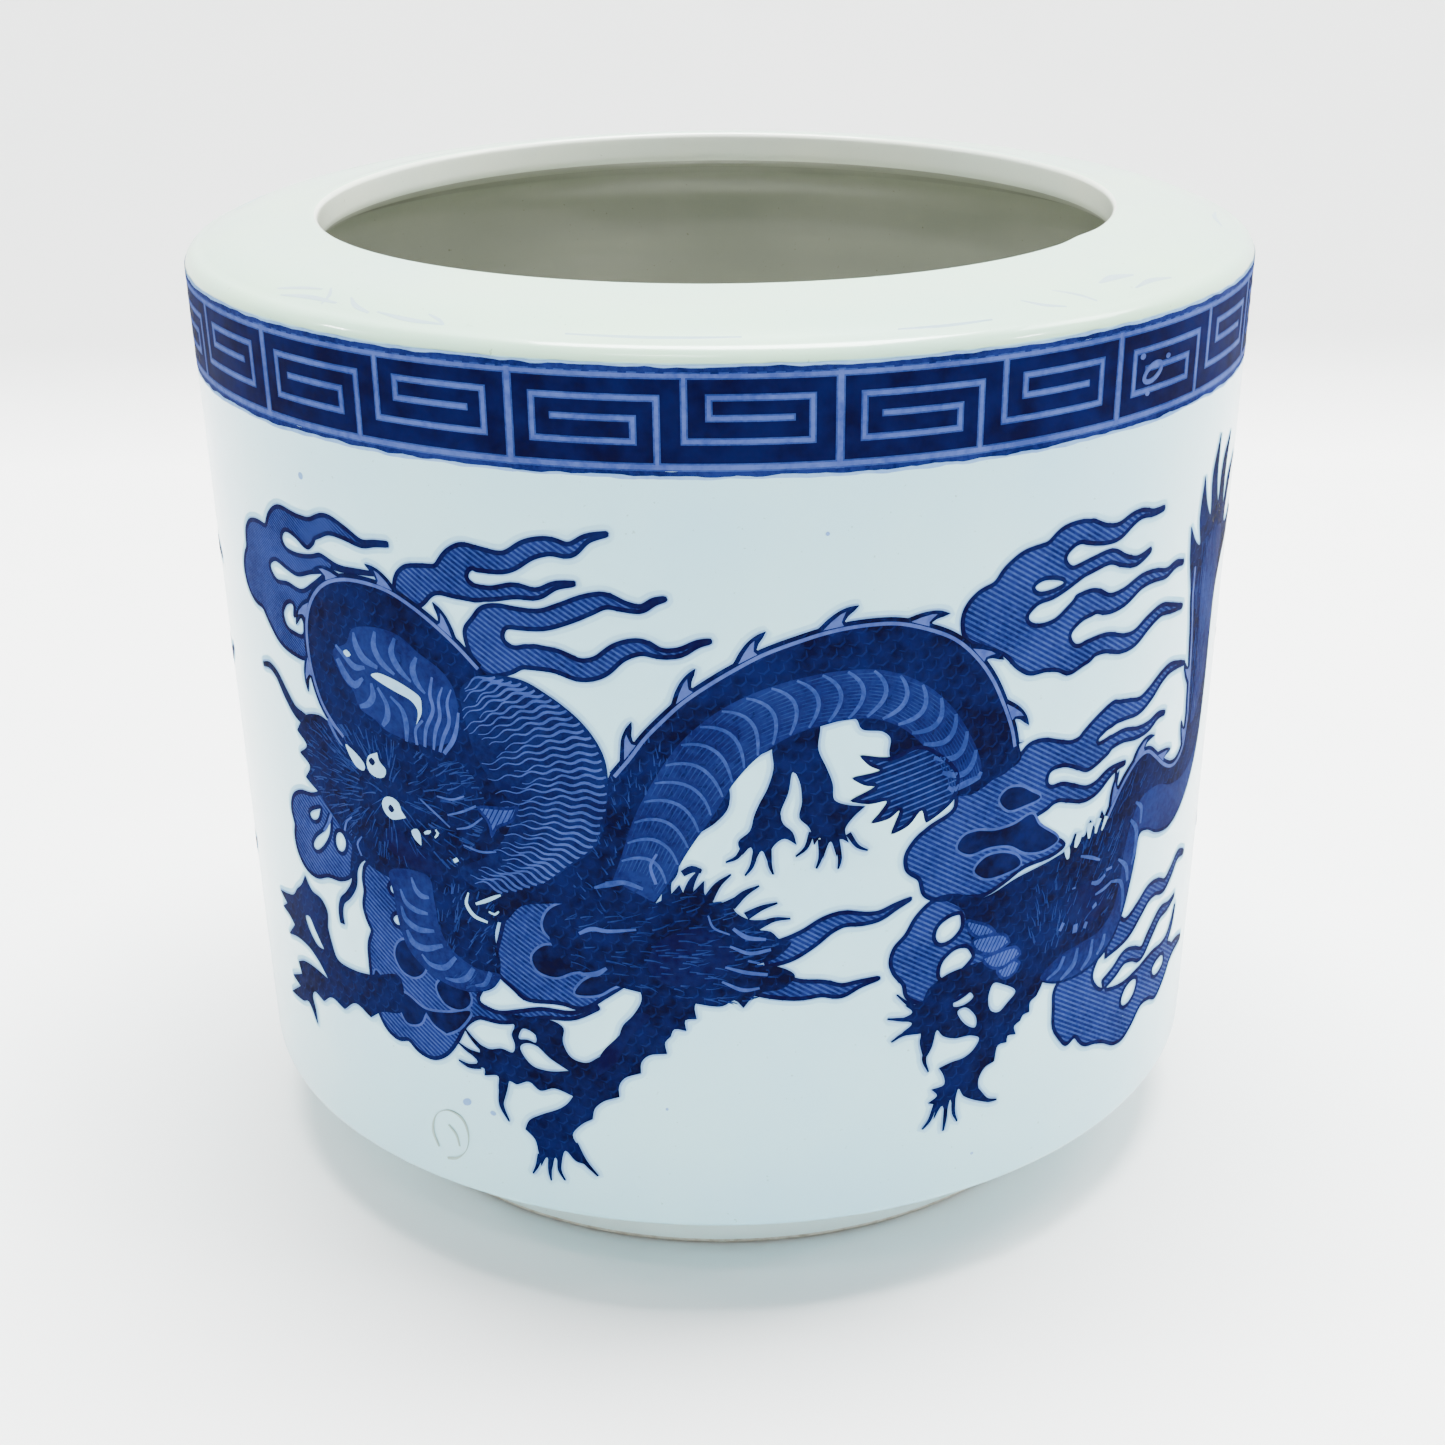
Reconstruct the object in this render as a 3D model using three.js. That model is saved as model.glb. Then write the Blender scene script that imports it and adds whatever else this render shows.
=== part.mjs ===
// Porcelain brush holder pot: a straight-sided cup with a turned-in collar and a recessed foot.
// Millimetres, +Z up. The axis is Z, and the foot stands on the plane z = 0.
//
// The clay is one fired body, but a potter makes it from four sections luted together:
// a foot ring, a floor disc, a thrown wall and a domed collar. Each section is its own
// closed solid, and neighbours meet face to face on a level joint.

import * as THREE from 'three';

// Outer sizes
const shoulderRadius = 70;        // widest circle, where the side meets the collar
const sideDraft = 2.8;            // how much the side draws in from shoulder to heel
const sideHeight = 111;           // from heel to shoulder
const footHeight = 12.6;          // how far the heel stands above the table
const collarWidth = 18.35;        // from the widest circle in to the mouth
const collarRise = 5.4;           // crest of the collar above the shoulder

// Clay sizes
const wallThickness = 6.5;
const floorThickness = 7.4;
const lipThickness = 5.4;         // the collar's edge round the mouth
const lipRound = 0.8;             // its upper corner, nearly sharp
const lipUnderRound = 2.2;        // its lower corner
const collarSkirt = 6.6;          // how far the collar's section reaches down the side
const domeRise = 1.3;             // crown of the collar above a straight cone

// Foot ring
const footInset = 14.2;           // the ring stands this far inside the heel
const footTread = 3.2;            // width of the flat that the pot stands on
const footBevel = 1.6;

// Rounded edges
const shoulderRound = 2.4;
const heelRound = 1.4;
const insideRound = 5;            // hollow corner under the collar and round the floor

const around = 72;                // steps in a full turn

const porcelain = new THREE.MeshStandardMaterial({ color: 0xe2eae6, roughness: 0.12, metalness: 0 });
const biscuit = new THREE.MeshStandardMaterial({ color: 0xd9d2c2, roughness: 0.75, metalness: 0 });

// Levels and circles that follow from those sizes
const heelHeight = footHeight;
const heelRadius = shoulderRadius - sideDraft;
const shoulderHeight = heelHeight + sideHeight;
const crestHeight = shoulderHeight + collarRise;
const mouthRadius = shoulderRadius - collarWidth;
const footRadius = heelRadius - footInset;
const floorTop = heelHeight + floorThickness;
const collarJoint = shoulderHeight - collarSkirt;
const cavityRadiusLow = sideRadius(floorTop) - wallThickness;
const cavityRadiusHigh = sideRadius(collarJoint) - wallThickness;

// Outer radius of the side at a height: a straight taper from heel to shoulder.
function sideRadius(height) {
  const share = (height - heelHeight) / sideHeight;
  return heelRadius + sideDraft * share;
}

function point(radius, height) {
  return new THREE.Vector2(radius, height);
}

// Points of an arc in the (radius, height) half plane, angles in degrees from the outward direction.
function arc(centreRadius, centreHeight, bend, fromAngle, toAngle, steps) {
  const points = [];
  for (let i = 0; i <= steps; i += 1) {
    const angle = THREE.MathUtils.degToRad(fromAngle + ((toAngle - fromAngle) * i) / steps);
    points.push(point(centreRadius + bend * Math.cos(angle), centreHeight + bend * Math.sin(angle)));
  }
  return points;
}

// Turns an outline about Z. The outline runs anticlockwise in the (radius, height) half plane.
function turned(name, outline, material) {
  const onAxis = outline[0].x === 0;
  const profile = onAxis ? outline : [...outline, outline[0].clone()];
  const geometry = new THREE.LatheGeometry(profile, around);
  geometry.rotateX(Math.PI / 2);
  const mesh = new THREE.Mesh(geometry, material);
  mesh.name = name;
  return mesh;
}

// The ring that carries the pot: a flat tread with a bevel on each side.
function footRing() {
  const treadOuter = footRadius - footBevel;
  const treadInner = treadOuter - footTread;
  const inner = treadInner - footBevel;
  return turned('foot_ring', [
    point(treadInner, 0),
    point(treadOuter, 0),
    point(footRadius, footBevel),
    point(footRadius, heelHeight),
    point(inner, heelHeight),
    point(inner, footBevel),
  ], biscuit);
}

// The disc between foot and wall. Its rim is the rounded heel of the pot.
function floorDisc() {
  const rimRadius = sideRadius(floorTop);
  return turned('floor_disc', [
    point(0, heelHeight),
    ...arc(heelRadius - heelRound, heelHeight + heelRound, heelRound, -90, 0, 4),
    point(rimRadius, floorTop),
    point(0, floorTop),
  ], porcelain);
}

// The thrown side, with a hollow corner inside where it meets the floor.
function wall() {
  return turned('wall', [
    point(sideRadius(floorTop), floorTop),
    point(sideRadius(collarJoint), collarJoint),
    point(cavityRadiusHigh, collarJoint),
    ...arc(cavityRadiusLow - insideRound, floorTop + insideRound, insideRound, 0, -90, 4),
  ], porcelain);
}

// The turned-in collar: a short skirt on the wall, a rounded shoulder, a low dome and a flat-faced lip.
function rimCollar() {
  const lipRadius = mouthRadius + lipRound;
  const shoulderCentre = shoulderRadius - shoulderRound;
  const slope = Math.atan2(crestHeight - shoulderHeight - shoulderRound, shoulderCentre - lipRadius);
  const shoulderTurn = 90 - THREE.MathUtils.radToDeg(slope);
  const shoulder = arc(shoulderCentre, shoulderHeight, shoulderRound, 0, shoulderTurn, 5);
  const domeStart = shoulder[shoulder.length - 1];

  const domeSteps = 6;
  const dome = [];
  for (let i = 1; i < domeSteps; i += 1) {
    const share = i / domeSteps;
    const radius = domeStart.x + (lipRadius - domeStart.x) * share;
    const cone = domeStart.y + (crestHeight - domeStart.y) * share;
    dome.push(point(radius, cone + domeRise * 4 * share * (1 - share) * (1 - share)));
  }

  // The underside falls from the lip to the hollow corner above the cavity wall.
  const lipTop = arc(lipRadius, crestHeight - lipRound, lipRound, 90, 180, 3);
  const underHeight = crestHeight - lipThickness + lipUnderRound;
  const underLip = arc(mouthRadius + lipUnderRound, underHeight, lipUnderRound, 180, 270, 4);
  const cornerCentre = cavityRadiusHigh - insideRound;
  const corner = arc(cornerCentre, collarJoint, insideRound, 75, 0, 5);

  return turned('rim_collar', [
    point(sideRadius(collarJoint), collarJoint),
    ...shoulder,
    ...dome,
    ...lipTop,
    ...underLip,
    ...corner,
  ], porcelain);
}

const pot = new THREE.Group();
pot.name = 'brush_holder_pot';
pot.add(footRing(), floorDisc(), wall(), rimCollar());

export default pot;
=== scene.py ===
"""Looks of a blue and white porcelain brush pot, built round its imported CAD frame."""

import math
import random

import bpy
import numpy as np
from mathutils import Matrix, Vector
from mathutils.geometry import delaunay_2d_cdt


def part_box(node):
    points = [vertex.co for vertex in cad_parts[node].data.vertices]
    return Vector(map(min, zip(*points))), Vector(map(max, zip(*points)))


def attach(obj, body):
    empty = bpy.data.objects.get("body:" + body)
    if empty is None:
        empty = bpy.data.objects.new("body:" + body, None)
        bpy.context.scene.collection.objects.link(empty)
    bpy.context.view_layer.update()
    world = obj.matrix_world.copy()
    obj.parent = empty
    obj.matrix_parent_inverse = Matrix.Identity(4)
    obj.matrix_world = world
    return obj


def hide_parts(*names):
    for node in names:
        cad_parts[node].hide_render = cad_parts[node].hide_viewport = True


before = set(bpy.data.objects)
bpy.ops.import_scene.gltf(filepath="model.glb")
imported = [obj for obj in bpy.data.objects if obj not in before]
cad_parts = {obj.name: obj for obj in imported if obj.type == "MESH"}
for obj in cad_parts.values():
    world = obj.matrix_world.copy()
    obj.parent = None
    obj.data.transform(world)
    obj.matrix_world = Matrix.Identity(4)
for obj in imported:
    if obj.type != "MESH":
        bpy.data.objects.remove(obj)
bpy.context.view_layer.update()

MM = 0.001

# ------------------------------------------------------------------ sizes, in millimetres
collar_low, collar_high = (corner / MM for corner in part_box("rim_collar"))
_, wall_high = (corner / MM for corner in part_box("wall"))
floor_low, floor_high = (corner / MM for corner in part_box("floor_disc"))
_, foot_high = (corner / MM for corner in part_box("foot_ring"))

SHOULDER_RADIUS = collar_high.x
COLLAR_JOINT = collar_low.z
FLOOR_TOP = floor_high.z
HEEL_HEIGHT = floor_low.z
CREST_HEIGHT = collar_high.z
FOOT_RADIUS = foot_high.x
COLLAR_RISE = 5.4
SHOULDER_HEIGHT = CREST_HEIGHT - COLLAR_RISE
COLLAR_WIDTH = 18.35
MOUTH_RADIUS = SHOULDER_RADIUS - COLLAR_WIDTH
WALL_THICKNESS = 6.5
LIP_THICKNESS = 5.4
LIP_ROUND = 0.8
LIP_UNDER_ROUND = 2.2
DOME_RISE = 1.3
SHOULDER_ROUND = 2.4
HEEL_ROUND = 1.4
INSIDE_ROUND = 5
FOOT_TREAD = 3.2
FOOT_BEVEL = 1.6

TURNS = 288                       # steps round the pot
PRINT_CIRCUMFERENCE = 2 * math.pi * SHOULDER_RADIUS

# Unevenness of this pot
MOUTH_EDGE = 62                   # the mouth's unevenness starts inside this radius
MOUTH_UNDERSIDE = 121             # and above this height
MOUTH_SHIFT = 0.6                 # the mouth is larger towards the left by twice this
DENT_DEPTH = 0.45                 # a dent in the mouth's edge, on the right towards the front
DENT_ANGLE = -0.565
DENT_SPREAD = 0.07
BACK_LIFT = 0.75                  # the rim stands higher at the back
TOP_DROP = 0.2


def side_radius(height):
    """Outer radius of the straight side: a line through the CAD wall's two ends."""
    share = (height - FLOOR_TOP) / (COLLAR_JOINT - FLOOR_TOP)
    return floor_high.x + (wall_high.x - floor_high.x) * share


def warp(radius, angle, height):
    """The small unevenness of a hand-finished pot, as a changed radius and height."""
    top = max(0.0, (height - FLOOR_TOP) / (CREST_HEIGHT - FLOOR_TOP))
    out = 0.16 * math.sin(2 * angle + 0.6) + 0.07 * math.sin(3 * angle + 0.02 * height)
    out += 0.04 * math.sin(5 * angle + 0.05 * height + 1.1) - 0.25
    out *= min(1.0, radius / MOUTH_RADIUS)
    near_mouth = min(1.0, max(0.0, (MOUTH_EDGE - radius) / 8))
    near_mouth *= min(1.0, max(0.0, height - MOUTH_UNDERSIDE))
    dent = math.remainder(angle - DENT_ANGLE, 2 * math.pi) / DENT_SPREAD
    out += near_mouth * (MOUTH_SHIFT * (1 - math.cos(angle)) - DENT_DEPTH * math.exp(-dent * dent))
    back = 0.5 + 0.5 * math.sin(angle)
    lift = top * top * (BACK_LIFT * back * back + 0.08 * math.sin(3 * angle + 2.0))
    return radius + out, height + lift - TOP_DROP * top


# ------------------------------------------------------------------ drawing in the flat
# The print is drawn flat, in millimetres: u runs round the side to the right of the
# front, and z is the height above the table. Lines are written as "u,z" points, or
# "u,z,width" points for a stroke; a star marks a sharp corner.

CURVE_STEP = 0.45
OVAL_STEPS = 20


def written(text):
    """The separate shapes or strokes of one text, which semicolons keep apart."""
    return [part for part in text.split(";") if part.strip()]


def read(text):
    """The points of a written line, and which of them are corners."""
    words = text.split()
    points = [[float(x) for x in word.rstrip("*").split(",")] for word in words]
    return np.array(points), [word.endswith("*") for word in words]


def spline(points, step=CURVE_STEP):
    """A centripetal Catmull-Rom curve through an open run of points."""
    before, after = 2 * points[0] - points[1], 2 * points[-1] - points[-2]
    knots = np.vstack([before, points, after])
    gaps = np.sqrt(np.maximum(1e-6, np.linalg.norm(np.diff(knots[:, :2], axis=0), axis=1)))
    made = []
    for i in range(1, len(knots) - 2):
        p0, p1, p2, p3 = knots[i - 1:i + 3]
        a, b, c = gaps[i - 1:i + 2]
        start = b * ((p1 - p0) / a - (p2 - p0) / (a + b) + (p2 - p1) / b)
        end = b * ((p2 - p1) / b - (p3 - p1) / (b + c) + (p3 - p2) / c)
        count = max(1, round(float(np.linalg.norm((p2 - p1)[:2])) / step))
        for k in range(count):
            t = k / count
            made.append((2 * t**3 - 3 * t**2 + 1) * p1 + (t**3 - 2 * t**2 + t) * start
                        + (3 * t**2 - 2 * t**3) * p2 + (t**3 - t**2) * end)
    made.append(knots[-2])
    return np.array(made)


def outline(text):
    """A closed outline: smooth through its points, sharp at its corners."""
    points, corners = read(text)
    count = len(points)
    if not any(corners):
        wrapped = np.vstack([points[-3:], points, points[:3]])
        curve = spline(wrapped)
        first = np.argmin(np.linalg.norm(curve - points[0], axis=1))
        last = first + np.argmin(np.linalg.norm(curve[first + 8:] - points[0], axis=1)) + 8
        return curve[first:last]
    start = corners.index(True)
    order = [(start + i) % count for i in range(count)] + [start]
    runs, run = [], [order[0]]
    for i in order[1:]:
        run.append(i)
        if corners[i]:
            runs.append(run)
            run = [i]
    return np.vstack([spline(points[run])[:-1] for run in runs])


def quads(curve, left, right):
    """The pieces of a ribbon along a curve, from a width on its left to one on its right."""
    ahead = np.gradient(curve[:, :2], axis=0)
    ahead /= np.maximum(1e-9, np.linalg.norm(ahead, axis=1))[:, None]
    side = np.column_stack([-ahead[:, 1], ahead[:, 0]])
    a = curve[:, :2] + side * np.reshape(left, (-1, 1))
    b = curve[:, :2] - side * np.reshape(right, (-1, 1))
    pieces = []
    for i in range(len(curve) - 1):
        pieces += [[b[i], b[i + 1], a[i + 1]], [b[i], a[i + 1], a[i]]]
    return pieces


def stroke(text):
    """A brush stroke of changing width."""
    curve = spline(read(text)[0])
    half = curve[:, 2] / 2
    return quads(curve, half, half)


def oval(u, z, wide, tall, tilt=0.0):
    """An ellipse, its long axis turned by tilt degrees."""
    turn = math.radians(tilt)
    points = []
    for i in range(OVAL_STEPS):
        a = 2 * math.pi * i / OVAL_STEPS
        x, y = wide / 2 * math.cos(a), tall / 2 * math.sin(a)
        points.append((u + x * math.cos(turn) - y * math.sin(turn),
                       z + x * math.sin(turn) + y * math.cos(turn)))
    return np.array(points)


def outlines(text):
    """The closed outlines of one text."""
    return [outline(part) for part in written(text)]


def strokes(text):
    """The pieces of all the brush strokes of one text."""
    pieces = []
    for part in written(text):
        pieces += stroke(part)
    return pieces


# ------------------------------------------------------------------ the picture
# Semicolons part the shapes and strokes of one text.
# Clouds: a hatched body, wavy tails that join it, gaps that show the white glaze, and
# dark pools.

CLOUDS = {
    "high_left": {
        "bodies": """
        -56,84 -58.5,81.9 -61.5,81.7 -65,82.4 -67.4,84.2 -69,85.8* -71.5,86 -73.6,87.4 -74.3,89.6
        -73.4,91.8 -72.3,93* -71.8,95.5 -70,97.2 -67.5,97.8 -65.3,97.7* -64,99.6 -61.5,101.1 -58.5,101
        -55.3,100.4 -54,98.2 -55.5,96.6 -52,95.8 -50,94 -54,89""",
        "tails": """
        -57.5,99.4,3 -54.5,99.7,2.7 -51.5,100.9,2.6 -48.5,100.5,1.8 -45.5,99.7,1 -43.5,100.1,.8
        -41.2,100.4,.7; -57,96,1.2 -53.5,96.3,1.3 -50,95.8,.8 -46,96.1,.6 -43,96.4,.5""",
        "gaps": """
        -61.2,97 -60.2,98.1 -58,97.8 -56,96.9 -54.4,97.2 -53.4,98.2 -52.6,97.6 -54,96.7 -56.6,96 -59,95.8
        -60.7,96.1; -65.2,92.4 -63.6,93.5 -61,93.1 -58.5,92.8 -55.5,93.8 -52.8,94.5* -55.5,92.6 -58,91.2
        -61,91.4 -64,91.1; -63,86.7 -61.7,88.4 -60.2,88.7 -60.5,86.9 -59.2,87.6 -58.3,86.9 -58.7,85.2
        -60.5,85 -62.4,85.3""",
    },
    "high_middle": {
        "bodies": """
        -41,94.5 -40.8,96.6 -39.3,98.2 -36.8,98.8 -34.8,99* -33.2,101 -31,102.2 -29,102 -27,101.4 -27,99.3
        -29.8,99.1 -30.4,98.1 -29.6,97.4 -28,97 -28.5,95.5 -32,95.3 -35,95.3 -37,93.5 -39,93""",
        "tails": """
        -29.5,100.5,3.2 -25.5,100.5,2.6 -22.5,102.3,2.5 -20,102.9,2.2 -17.7,102.6,1.8 -15.6,104.1,1.1
        -13.1,104.8,.6; -30.6,96.4,2.2 -27.5,96.5,1.8 -24.5,97.2,1.9 -21.8,97.1,1.4 -19.5,98.3,1
        -17.1,98.7,.6""",
    },
    "middle": {
        "bodies": """
        -31.5,91.5 -30.2,93.4 -29,94.8 -26.5,95.4 -24,94.8 -23.5,92.9 -25.5,92.7 -26.2,91.4 -25.3,90.5
        -23.3,90.8 -21.5,90.8 -21,88 -23.5,88 -25.5,86.9 -28.2,86.2 -30,87""",
        "tails": """
        -26,93.9,2.8 -21.5,94,2.6 -18.7,95,2.7 -16,96.2,2.6 -13.8,96.9,2 -11.5,96.3,1.3 -9.6,96.1,1
        -8.2,97,.9 -6.7,97.4,.6; -24,89.3,3 -20,89.2,3 -17,88.3,2.8 -14.8,88.8,2.7 -12.3,90.8,2.4
        -9.8,91.5,2 -7.5,90.8,1.3 -5.3,91,1.2 -3.4,92,.9 -1.7,92.4,.6""",
    },
    "high_right": {
        "bodies": """
        27.9,91.8 28.2,93.8 29.8,95.6 32.2,96.5* 33.5,98.1 36,99.6 39.6,100.1* 41.5,101.4 44,101.8
        46.5,101.4 48,100 47,98.6 44.3,98.8 42.6,97.6 43.6,96.3 45.8,96.2 46.5,95 44.5,94 41,92.8
        38.6,92.5 37.2,91.2 38.4,90.2 41.3,90.2 43.4,91.4 45.5,92.6 48,92.3 48.5,89.5 46,88.9 44.2,87.6
        45.2,86.1 47.5,86 48.5,83.6 46.5,82.9 44.3,82.4 42.4,83.3* 40.5,83.7 38,83.8 36,85 34,87 31,88.5
        28.5,90""",
        "tails": """
        46,100.1,3.2 49,99.1,2.6 51.5,98.9,2.3 54,99.8,1.8 56,100.1,1.3 58.5,99.6,.9 61.1,99.6,.7;
        44,95.2,2 47,95.7,2 50.5,96,1.9 53,94.9,1.6 55.5,94.2,1.3 57.3,94.5,1 58.7,95,.7; 44.5,91.2,2.6
        47.5,91.2,2.9 50.5,90,2.6 53.5,90.1,2.5 57,91.2,2 60,91.2,1.7 63,90.7,1.3 65.5,91.2,1
        67.8,90.8,.6; 46.5,84.9,2.6 50.5,85,2.6 54,84,2.5 56.5,84,2.3 59.5,85.3,2 62.5,86,1.7
        65.5,85.4,1.3 68.8,84.7,.6""",
        "gaps": """
        37.9,94.8 39,95.4 41,95.2 42.6,94.5 40.5,94 38.7,94.1""",
    },
    "right": {
        "bodies": """
        25,67 22.9,65.5 21.6,63.4 21.9,61.3 23.6,59.9* 24.3,57.6 26,56.6 29.5,56.2 33,55.7 36,56.7 39,58
        44,58.4 46,59.3 45.2,60.3* 42.6,62 40.4,64.6* 43,65.5 44,67.8 42.2,68.6 42.3,70.1 44.5,70.3
        47,69.3 49,68.4 52,69.2 53.5,70 53,72.1 51.4,71.4 50.6,72.1 51.8,73 54,73.4 54,76.6 52,76.4
        49.8,75.2 47.8,73.9 45.8,73.5 43.4,74.2 41,75 38.6,74.9 37,73.6 34.5,72 29.6,72 28.2,70.6 28,68.6""",
        "tails": """
        48,72.6,3 50.5,74,3.2 53,74.9,3.2 56,74.7,2.8 59,74.3,2.4 61.5,75.1,2.2 64,76.4,1.8 66.3,77,1.5
        69,76.7,1 71.6,76.1,.5; 50,70.4,2.6 53,71,2 56,71.2,1.9 59,70.6,1.7 62,70.6,1.5 64.3,71.3,1
        66.4,71,.6; 41,66.2,2.4 44,67,2.6 46.5,66.2,2.4 48.8,65.4,2.2 51,65.6,2 53.3,66.8,1.6 55,67.2,1
        57,67.2,.6""",
        "darks": """
        28.8,63.2 29.6,64.6 31.5,64.9 34,64.4 37,64.5 39.8,65.2 41,63.5 44.5,60.5 42,59.7 39,60.3
        36.5,61.8 33.5,62.3 30.5,62; 34.6,68.4 35.6,69.5 37.6,69.4 39.6,68.2 41,67.2 38.5,66.7 36,66.7;
        31.4,59.6 32.8,61 35.3,61.1 37.8,60 38.4,58.8 35.8,58.1 33,58.2""",
    },
    "low_right": {
        "bodies": """
        26,57 23.4,55.1 22,52.8 20.5,51.2 20,49.2 20.6,47.4 21.9,45.8* 22.3,44 24,42.7 26.5,41.9 30,42
        33,44 34,48 31.5,53 30,56.5""",
        "gaps": """
        26.2,51.6 26.7,53.1 28.3,54 29.7,54.1* 29.8,52.2 28.4,50.8 26.9,50.6; 27,46.6 27.4,48 29.2,49.3
        30.9,49.1 31.8,47.7* 30.5,46.5 28.4,45.5 27.2,45.7""",
    },
    "far_right": {
        "bodies": """
        45.8,39 45.7,36 46,33 47.3,31 49,29.3 50.6,30* 52.6,27.9 55.5,27.1* 57.5,26.3 60,24.9 62.5,24.6
        65,25.8 67.5,27.6 70,27.4 73,26.3 75.5,27.4 78,29.4 79,31.5 77,33.2 72,34.3 66,34.4 61,34 57,34.8
        54.8,36 53.6,38 54.5,40 57,42 60,44 56,45 50,42""",
        "tails": """
        56,42,5 61,42.1,3.6 64,43.6,3 66.5,45,2.8 69,45,2.4 72,44,2 74.5,45,1.8 77,46.4,1.4 80.5,45.4,.6;
        56,35.6,1.8 58.5,36.5,2 61,37.8,2.2 63.5,37.3,2.1 66,36.3,2.1 68.5,38.2,2.1 71.5,40,1.9
        74.5,39.8,1.3 77.5,40.2,.6; 66,33.6,1.8 70,34,2 73,33.7,2 75.5,34.1,1.8 77.4,36,1.4 78.3,38.4,.6;
        72,28.6,3.4 76,30.2,3 80,31.1,2 85,30.3,.6""",
        "gaps": """
        61.2,31 62,32.6 64,33.2 65.3,32.6 64.8,30.8 63,29.9 61.6,30.2; 70.5,31.8 72,32.6 74.5,32.3 75,31
        73,30.2 71.2,30.6""",
    },
    "chin": {
        "bodies": """
        -52,60 -53,56 -53.6,53.8 -56,52.4 -59,51.9 -62,50.7 -65,51 -66.9,52.8 -67.3,55 -66.8,56.6*
        -67.4,58.8 -66.4,61 -64,62.5 -61,63.1 -59,64 -55,66 -52,64""",
        "gaps": """
        -62.1,59.9 -61.3,60.6 -59,61.7* -60,59.8 -61.6,59.2; -62.1,55.3 -61,56.9 -58.5,58.9 -56.8,61.6*
        -57.5,58.6 -59.5,56.1 -61.4,54.9; -56.4,57.5 -55.9,59.2 -54.8,59.7 -54,58.6 -54.7,57 -55.8,56.7""",
    },
    "low_left": {
        "bodies": """
        -50.3,57 -51.4,54.5 -51.3,52.6* -51.9,50.2 -51.3,48.2 -50.6,47.2* -51.6,45 -51.8,42 -51.7,38
        -50.8,35 -49.3,33 -47.2,32.3 -45.4,32.9* -43.7,31.7 -41.2,31.4 -38.8,32.7 -36.8,35.2 -35,38.2
        -33,39.6 -30,39.6 -28,40.5 -30,41.2 -33,42.2 -32,45 -38,50 -42,54 -45,58""",
        "tails": """
        -33,40.6,2 -30,40.5,1.8 -27,41.4,1.7 -24,42.3,1.6 -20,42.6,1.2 -16.5,44.3,.8""",
        "gaps": """
        -46.3,54.6 -45.6,55.4 -44.9,54.8 -45.2,53.9 -46,53.9; -46.3,50.1 -45.4,51.1 -44.4,50.9 -44.5,49.9
        -45.6,49.5""",
        "darks": """
        -46.4,45 -45.6,47 -44,47.9 -42.2,47.6 -41,46 -41.6,44 -43.4,42.8 -45.4,43.2; -39.6,42.4 -38.6,43.8
        -36.4,44.2 -34.6,43.2 -34.4,41.6 -36,40.2 -38.4,40.4; -50.5,41.5 -48,39.6 -45,39.8 -42,38.6
        -38,39.2 -34.5,40.3 -36.5,37.4 -38.6,36* -40.6,36.8 -41.8,38.2* -43,36.2 -45.4,35.6 -46.6,37.6*
        -49,37 -51,37""",
    },
    "under": {
        "bodies": """
        -23,58.9 -26.5,57.6 -28.3,55.6 -29.5,52 -30.3,49 -30.2,46.8 -28,44.9 -26.3,43.7 -22,43.9
        -18.5,43.6 -15.5,45.6 -12,48.4 -9,52 -11,57.5 -15,59.6 -19,59.4""",
        "gaps": """
        -23,43.4 -21.4,43.9 -19.9,43.5 -21.4,43""",
        "darks": """
        -23.3,54.4 -22.6,56.6 -20.5,58 -17,58 -13,57.4 -8,58 -8,54.5 -12,54.6 -16,55 -18.5,54.4 -20.5,53.2
        -22.2,53; -25,50 -23.4,51.8 -20.6,52.2 -18,53.6 -14,54.4 -8,54.4 -8,49 -12,48.4 -14.5,47.3
        -16.5,46 -19.5,45.8 -18.4,47.6 -16,49.2 -19.5,48.8 -22,47.7 -24.4,48.3""",
    },
    "pearl": {
        "bodies": """
        107,70 106.2,74 108,78 112,80 116,79 119,75.6 119.6,71.4 117.6,67.4 113.6,65.4 109.6,66.4; 104,80
        106,83 109.6,84.4 113,84.6 116.4,84 114,82.4 110,81.6 107,79.6""",
        "tails": """
        118.6,76.4,2.6 121,79.4,2.4 121.6,83,2.2 124,86.4,1.8 128,87.6,1.2 131.4,86.8,.6; 119.4,71,2.4
        122.6,72.4,2.2 125.6,71.4,1.8 128.6,72.4,1.2 131.6,74.2,.5; 106.6,71,2.4 103.4,70.4,2.2
        100.6,72,1.8 98,71.4,1.3 95.4,72.4,.6; 108,77.6,2.6 105.4,80.6,2.4 104.8,84.4,2.2 102,87.6,1.8
        98.4,88,1.2 95.6,90,.6; 112,65.6,2.4 111.4,62,2.2 113,58.6,1.8 112,55.4,1.2 113.4,52.6,.5""",
        "gaps": """
        110.4,71.4 110.2,74.4 112.6,76.4 115.2,75.4 116.2,72.6 114.6,70 112,69.6""",
    },
    "drift": {
        "bodies": """
        100,42 98.6,39.6 100,37.2 103,36 106.4,36.4 109,35 112.6,35 115,36.8 118.4,36.4 121,38.2 121.4,41
        119,43 115.4,43.6 112,45 108,44.6 104.4,44.8""",
        "tails": """
        119,42,2.6 122,43.4,2.2 124.6,42.4,1.8 127.4,43.2,1.2 130,45,.6; 101,42,2.4 98.4,44,2
        95.6,43.6,1.4 93,45,.6""",
        "gaps": """
        106.4,39.4 108,41 111,41 112.6,39.6 110.4,38.4""",
    },
    "breath": {
        "tails": """
        4,51.9,3.4 7,52.6,3.4 9.6,53.9,3 12,55.5,2.6 14,56.1,2.2 16.5,55.8,1.8 18.6,55.9,1.4 20.6,56.8,1
        22.8,57.6,.5; 1.6,48.8,3.4 5,47.9,3.6 8.5,47,2.9 11.5,46.9,2.3 13.8,46.3,2 16,46.9,1.2
        18.9,47.4,.5""",
    },
}

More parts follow.
